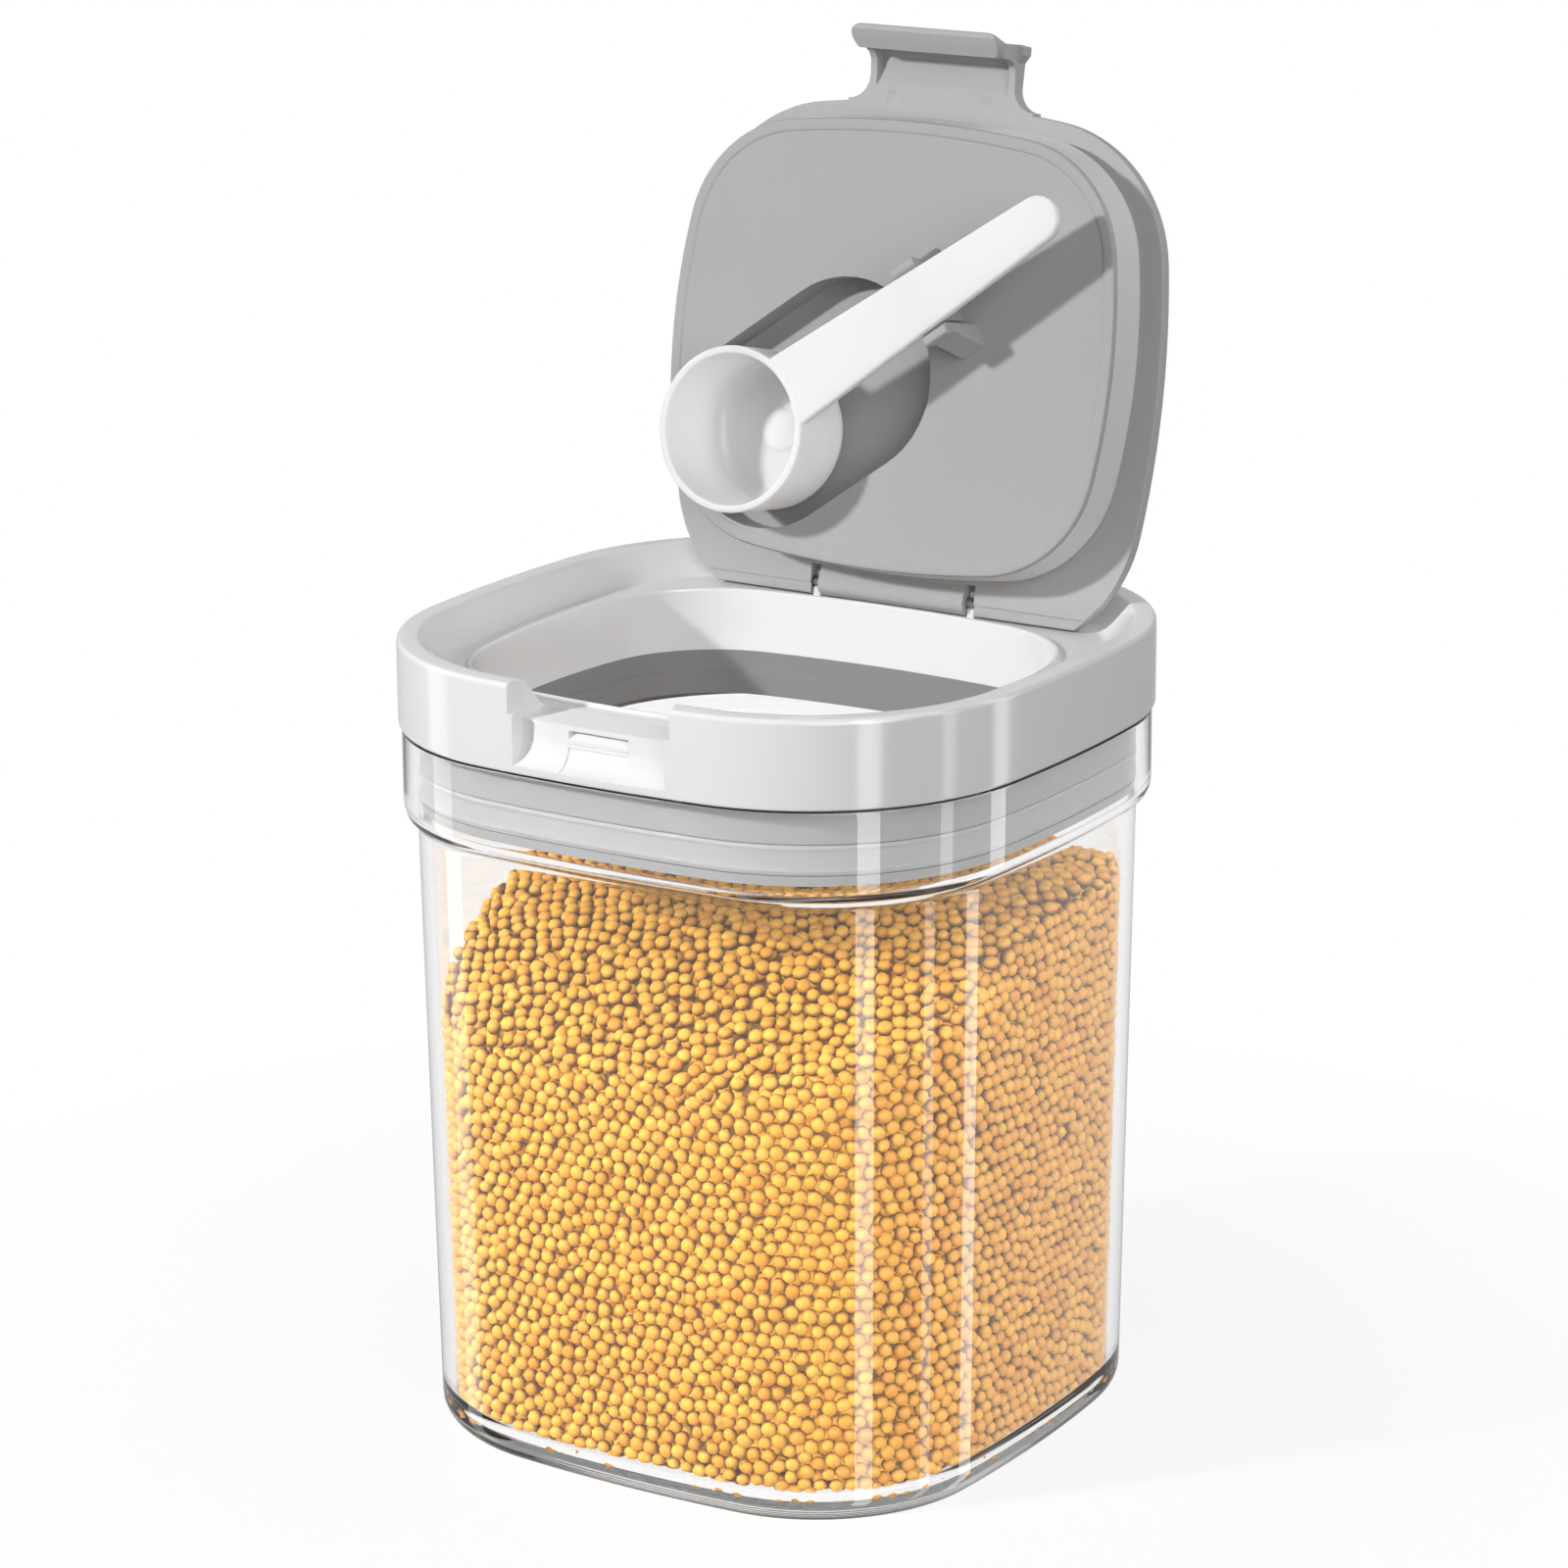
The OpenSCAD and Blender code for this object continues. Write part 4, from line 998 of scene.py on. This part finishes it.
# %% Push points apart
def settled(points, gap, rounds, period=None):
    """Moves 2D points apart until few are nearer than gap. period wraps the first axis."""
    points = np.array(points)
    for _ in range(rounds):
        tree = kdtree.KDTree(len(points) * (2 if period else 1))
        for i, (u, v) in enumerate(points):
            tree.insert((u, v, 0), i)
            if period:
                tree.insert((u + (period if u < period / 2 else -period), v, 0), i)
        tree.balance()
        moves = np.zeros_like(points)
        for i, (u, v) in enumerate(points):
            for near, j, far in tree.find_range((u, v, 0), gap):
                if j != i and far > 1e-6:
                    push = (gap - far) / far * 0.45
                    moves[i] += ((u - near[0]) * push, (v - near[1]) * push)
        points += moves
        if period:
            points[:, 0] %= period
    return points


ROW_STEP, SCATTER = 0.866, 0.42


def hexagonal(width, height, gap):
    rows = int(height / (gap * ROW_STEP)) + 1
    columns = int(width / gap)
    grid = [((c + 0.5 * (r % 2)) * width / columns, r * gap * ROW_STEP)
            for r in range(rows) for c in range(columns)]
    return np.array(grid) + rng.uniform(-SCATTER, SCATTER, (len(grid), 2)) * gap


# %% Layers on the wall, on the heap and on the floor
MIDDLE = body_half_at(60)
SHEET, FLOOR_SEAT = 106, JAR_FLOOR + 1.5


def wide_sheet(rounds):
    """Points over a square that is wider than the jar, round its middle."""
    return settled(hexagonal(SHEET, SHEET, GRAIN_GAP), GRAIN_GAP, rounds) - SHEET / 2


def wall_walk(inset):
    """The outline that grain centres follow, and the distance along it at each point."""
    path = [Vector(p).to_2d() for p in body_line(MIDDLE, JAR_WALL + inset)]
    steps = [(path[(i + 1) % len(path)] - path[i]).length for i in range(len(path))]
    return path, np.concatenate([[0], np.cumsum(steps)])


def on_wall(path, walk, distance, z, inset):
    i = min(int(np.searchsorted(walk, distance, side="right")) - 1, len(path) - 1)
    k = (distance - walk[i]) / (walk[i + 1] - walk[i])
    p = path[i].lerp(path[(i + 1) % len(path)], k)
    share = (inner_half(z) - inset) / (MIDDLE - JAR_WALL - inset)
    return p.x * share, p.y * share


def inside_plan(x, y, half):
    r = half * 0.6 - 1.5
    c = half - r - BODY_SAG
    dx, dy = abs(x) - c, abs(y) - c
    if dx > 0 and dy > 0:
        return hypot(dx, dy) <= r
    return max(abs(x), abs(y)) <= half - BODY_SAG * 0.5


def out_of_wall(x, y):
    """The wall's outward direction near a place beside it."""
    n = np.array([x ** 3, y ** 3, 0.0])
    return n / np.linalg.norm(n)


def out_of_heap(x, y):
    """The heap's outward direction at a place."""
    n = np.array([heap(x - 2, y) - heap(x + 2, y), heap(x, y - 2) - heap(x, y + 2), 4.0])
    return n / np.linalg.norm(n)


seats, outward = [], []
for inset, start in ((1.6, 0.0), (3.9, 1.4)):
    path, walk = wall_walk(inset)
    spread = settled(hexagonal(walk[-1], 104, GRAIN_GAP), GRAIN_GAP, 4, walk[-1])
    for u, v in spread:
        z = v + JAR_FLOOR + 1.6 + start * 0.6
        x, y = on_wall(path, walk, min(max(u, 0), walk[-1] - 1e-6), z, inset + rng.uniform(-0.05, 0.5))
        if JAR_FLOOR + 1.55 < z < heap(x, y) - (0.4 if inset < 2 else 1.2):
            seats.append((x, y, z))
            outward.append(out_of_wall(x, y))
walls = len(seats)
for drop in (0.0, 2.3):
    for x, y in wide_sheet(4):
        z = heap(x, y) - drop
        if inside_plan(x, y, inner_half(z) - 1.5):
            seats.append((x, y, z + rng.uniform(-0.5, 0.5)))
outward += [out_of_heap(x, y) for x, y, z in seats[walls:]]
on_floor = [(x, y, FLOOR_SEAT) for x, y in wide_sheet(5) if inside_plan(x, y, inner_half(FLOOR_SEAT) - 1.5)]
seats += on_floor
outward += [np.array([0, 0, -1.0])] * len(on_floor)
print("grains:", len(seats), "of which on the wall:", walls)

# %% [markdown]
# One grain is modelled once, a slightly flattened ball of forty-eight faces. Thousands of copies
# go into a few meshes, each grain turned, sized and toned by chance, with a fixed seed.

# %% One grain
clear_selection()
bpy.ops.mesh.primitive_uv_sphere_add(segments=8, ring_count=6, radius=1)
pattern = bpy.context.object
ball = np.array([v.co[:] for v in pattern.data.vertices]) * (1.03, 0.96, 0.86)
ball_faces = [list(p.vertices) for p in pattern.data.polygons]
ball_pit = (ball[:, 2] > 0.87).astype(float)
bpy.data.objects.remove(pattern, do_unlink=True)


def turned_at_random(count):
    q = rng.normal(size=(count, 4))
    q /= np.linalg.norm(q, axis=1)[:, None]
    w, x, y, z = q.T
    return np.stack([
        np.stack([1 - 2 * (y * y + z * z), 2 * (x * y - w * z), 2 * (x * z + w * y)], -1),
        np.stack([2 * (x * y + w * z), 1 - 2 * (x * x + z * z), 2 * (y * z - w * x)], -1),
        np.stack([2 * (x * z - w * y), 2 * (y * z + w * x), 1 - 2 * (x * x + y * y)], -1)], 1)


# %% Copy it to every seat
def grain_mesh(name, places, ways):
    count, size = len(places), len(ball)
    scale = rng.uniform(0.86, 1.07, (count, 1, 1)) * GRAIN_R
    turned = np.einsum("nij,vj->nvi", turned_at_random(count), ball) * scale
    points = (turned + np.array(places)[:, None, :]).reshape(-1, 3) * MM
    faces_out = np.einsum("nvi,ni->nv", turned, np.array(ways)) / GRAIN_R
    lengths = np.array([len(f) for f in ball_faces])
    flat = np.concatenate([np.array(f) for f in ball_faces])
    corners = (flat[None] + (np.arange(count) * size)[:, None]).ravel()
    totals = np.tile(lengths, count)
    mesh = bpy.data.meshes.new(name)
    mesh.vertices.add(len(points))
    mesh.vertices.foreach_set("co", points.ravel())
    mesh.loops.add(len(corners))
    mesh.loops.foreach_set("vertex_index", corners.astype(np.int32))
    mesh.polygons.add(len(totals))
    starts = np.concatenate([[0], np.cumsum(totals)[:-1]])
    mesh.polygons.foreach_set("loop_start", starts.astype(np.int32))
    mesh.polygons.foreach_set("use_smooth", np.ones(len(totals), bool))
    mesh.update(calc_edges=True)
    mesh.validate()
    for key, values in (("tone", np.repeat(rng.beta(1.6, 1.2, count), size)),
                        ("pit", np.tile(ball_pit, count)), ("facing", faces_out.ravel())):
        mesh.attributes.new(key, "FLOAT", "POINT").data.foreach_set("value", values)
    mesh.materials.append(GRAIN)
    return bpy.data.objects.new(name, mesh)


PER_PIECE = 2000
for start in range(0, len(seats), PER_PIECE):
    grains = grain_mesh(f"grains_{start // PER_PIECE + 1}", seats[start:start + PER_PIECE],
                        outward[start:start + PER_PIECE])
    bpy.context.scene.collection.objects.link(grains)
    grains.visible_diffuse = False
    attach(grains, "jar")

# %% [markdown]
# The core follows the wall and the heap a little under two grains deep.

# %% Core behind the grains
CORE_INSET = JAR_WALL + 5
rings = [at(body_line(inner_half(z) + JAR_WALL, CORE_INSET), z) for z in (JAR_FLOOR + 4.6, 12, 40, 70)]
edge = body_line(inner_half(80) + JAR_WALL, CORE_INSET)
for share in (1.0, 0.97, 0.8, 0.6, 0.4, 0.2, 0.06):
    level = [(x * share, y * share) for x, y in edge]
    rings.append([Vector((x, y, heap(x, y) - (6.0 if share == 1.0 else 4.6))) * MM for x, y in level])
core = ring_stack("grain_core", rings)
dressed(core, "jar", GRAIN_SHADE)

# %% [markdown]
# ## Floor and light
# The photograph has a pure white background. The floor is pale, and for the camera and for
# clear plastic most of its shading gives way to plain white, more so with distance, so that
# it keeps only a soft shadow round the jar. The light that it throws back up is kept low.

# %% Floor
clear_selection()
bpy.ops.mesh.primitive_plane_add(size=6)
floor = bpy.context.object
floor.name = "floor"
floor_look = new_material("white_sweep")
path = node(floor_look, "LightPath")
through = node(floor_look, "Math", {0: path.outputs["Is Glossy Ray"],
                                    1: path.outputs["Is Transmission Ray"]}, operation="MAXIMUM")
seen = node(floor_look, "Math", {0: path.outputs["Is Camera Ray"], 1: through.outputs[0]},
            operation="MAXIMUM")
coords = node(floor_look, "TexCoord").outputs["Object"]
far = node(floor_look, "VectorMath", {0: coords}, operation="LENGTH").outputs["Value"]
plain = node(floor_look, "MapRange", {"Value": far, "From Min": 0.075, "From Max": 0.22,
                                      "To Min": 0.84, "To Max": 1.0})
share = node(floor_look, "Math", {0: seen.outputs[0], 1: plain.outputs["Result"]},
             operation="MULTIPLY")
paint = node(floor_look, "Mix", {SHARE: seen.outputs[0], FIRST: hex_colour("#5A5A5A"),
                                 SECOND: hex_colour("#F6F6F6")}, data_type="RGBA")
matt = node(floor_look, "BsdfDiffuse", {"Color": paint.outputs[2]})
white = node(floor_look, "Emission", {"Color": hex_colour("#FFFFFF"), "Strength": 1.0})
mixed = node(floor_look, "MixShader", {"Fac": share.outputs[0], 1: matt.outputs[0], 2: white.outputs[0]})
node(floor_look, "OutputMaterial", {"Surface": mixed.outputs[0]})
floor.data.materials.append(floor_look)
floor.visible_glossy = False

# %% World
world = bpy.data.worlds.new("studio_air")
bpy.context.scene.world = world
world.use_nodes = True
world.node_tree.nodes.clear()
path = node(world, "LightPath")
mirrored = node(world, "Math", {0: path.outputs["Is Glossy Ray"], 1: 0.5}, operation="MULTIPLY")
bounced = node(world, "Math", {0: mirrored.outputs[0], 1: path.outputs["Is Transmission Ray"]},
               operation="MAXIMUM")
direct = node(world, "Math", {0: path.outputs["Is Camera Ray"], 1: bounced.outputs[0]},
              operation="MAXIMUM")
sky = node(world, "Background", {"Color": hex_colour("#FFFFFF"), "Strength": 0.14})
backdrop = node(world, "Background", {"Color": hex_colour("#FFFFFF"), "Strength": 1.0})
choice = node(world, "MixShader", {0: direct.outputs[0], 1: sky.outputs[0], 2: backdrop.outputs[0]})
node(world, "OutputWorld", {0: choice.outputs[0]})

# %% [markdown]
# The scoop's shadow falls to the right and a little down, so the main lamp stands to the left
# of the camera and above it. Tall narrow lamps, seen only in reflections, draw the upright
# highlights on the rounded front corner.


# %% Lamps
LAMP_AIM = Vector((0, 0, 130)) * MM


def lamp(name, azimuth, elevation, distance, size, power):
    """Azimuth 0 is in front of the object and 90 on its right."""
    a, e = radians(azimuth), radians(elevation)
    way = Vector((sin(a) * cos(e), -cos(a) * cos(e), sin(e)))
    bpy.ops.object.light_add(type="AREA")
    made = bpy.context.object
    made.name = name
    made.data.shape = "RECTANGLE"
    made.data.size, made.data.size_y = size
    made.data.energy = power
    made.location = LAMP_AIM + way * distance
    made.rotation_mode = "QUATERNION"
    made.rotation_quaternion = (-way).to_track_quat("-Z", "Y")
    return made


main_lamp = lamp("main_lamp", -35, 25, 1.2, (0.08, 0.08), 11.3)
main_lamp.visible_glossy = False
lamp("fill_lamp", 52, 20, 1.2, (0.9, 0.9), 7.6)
lamp("top_lamp", 150, 60, 1.2, (0.8, 0.8), 3.0)
for name, azimuth, width, power in (("strip_near", 58, 0.22, 10.0), ("strip_mid", 98, 0.14, 3.6),
                                    ("strip_far", 131, 0.2, 6.0), ("strip_left", -74, 0.3, 4.0)):
    strip = lamp(name, azimuth, 0, 1.15, (width, 2.4), power)
    strip.visible_diffuse = False
    strip.visible_transmission = False
    strip.visible_camera = False

# %% Colour management
bpy.context.scene.view_settings.view_transform = "Standard"
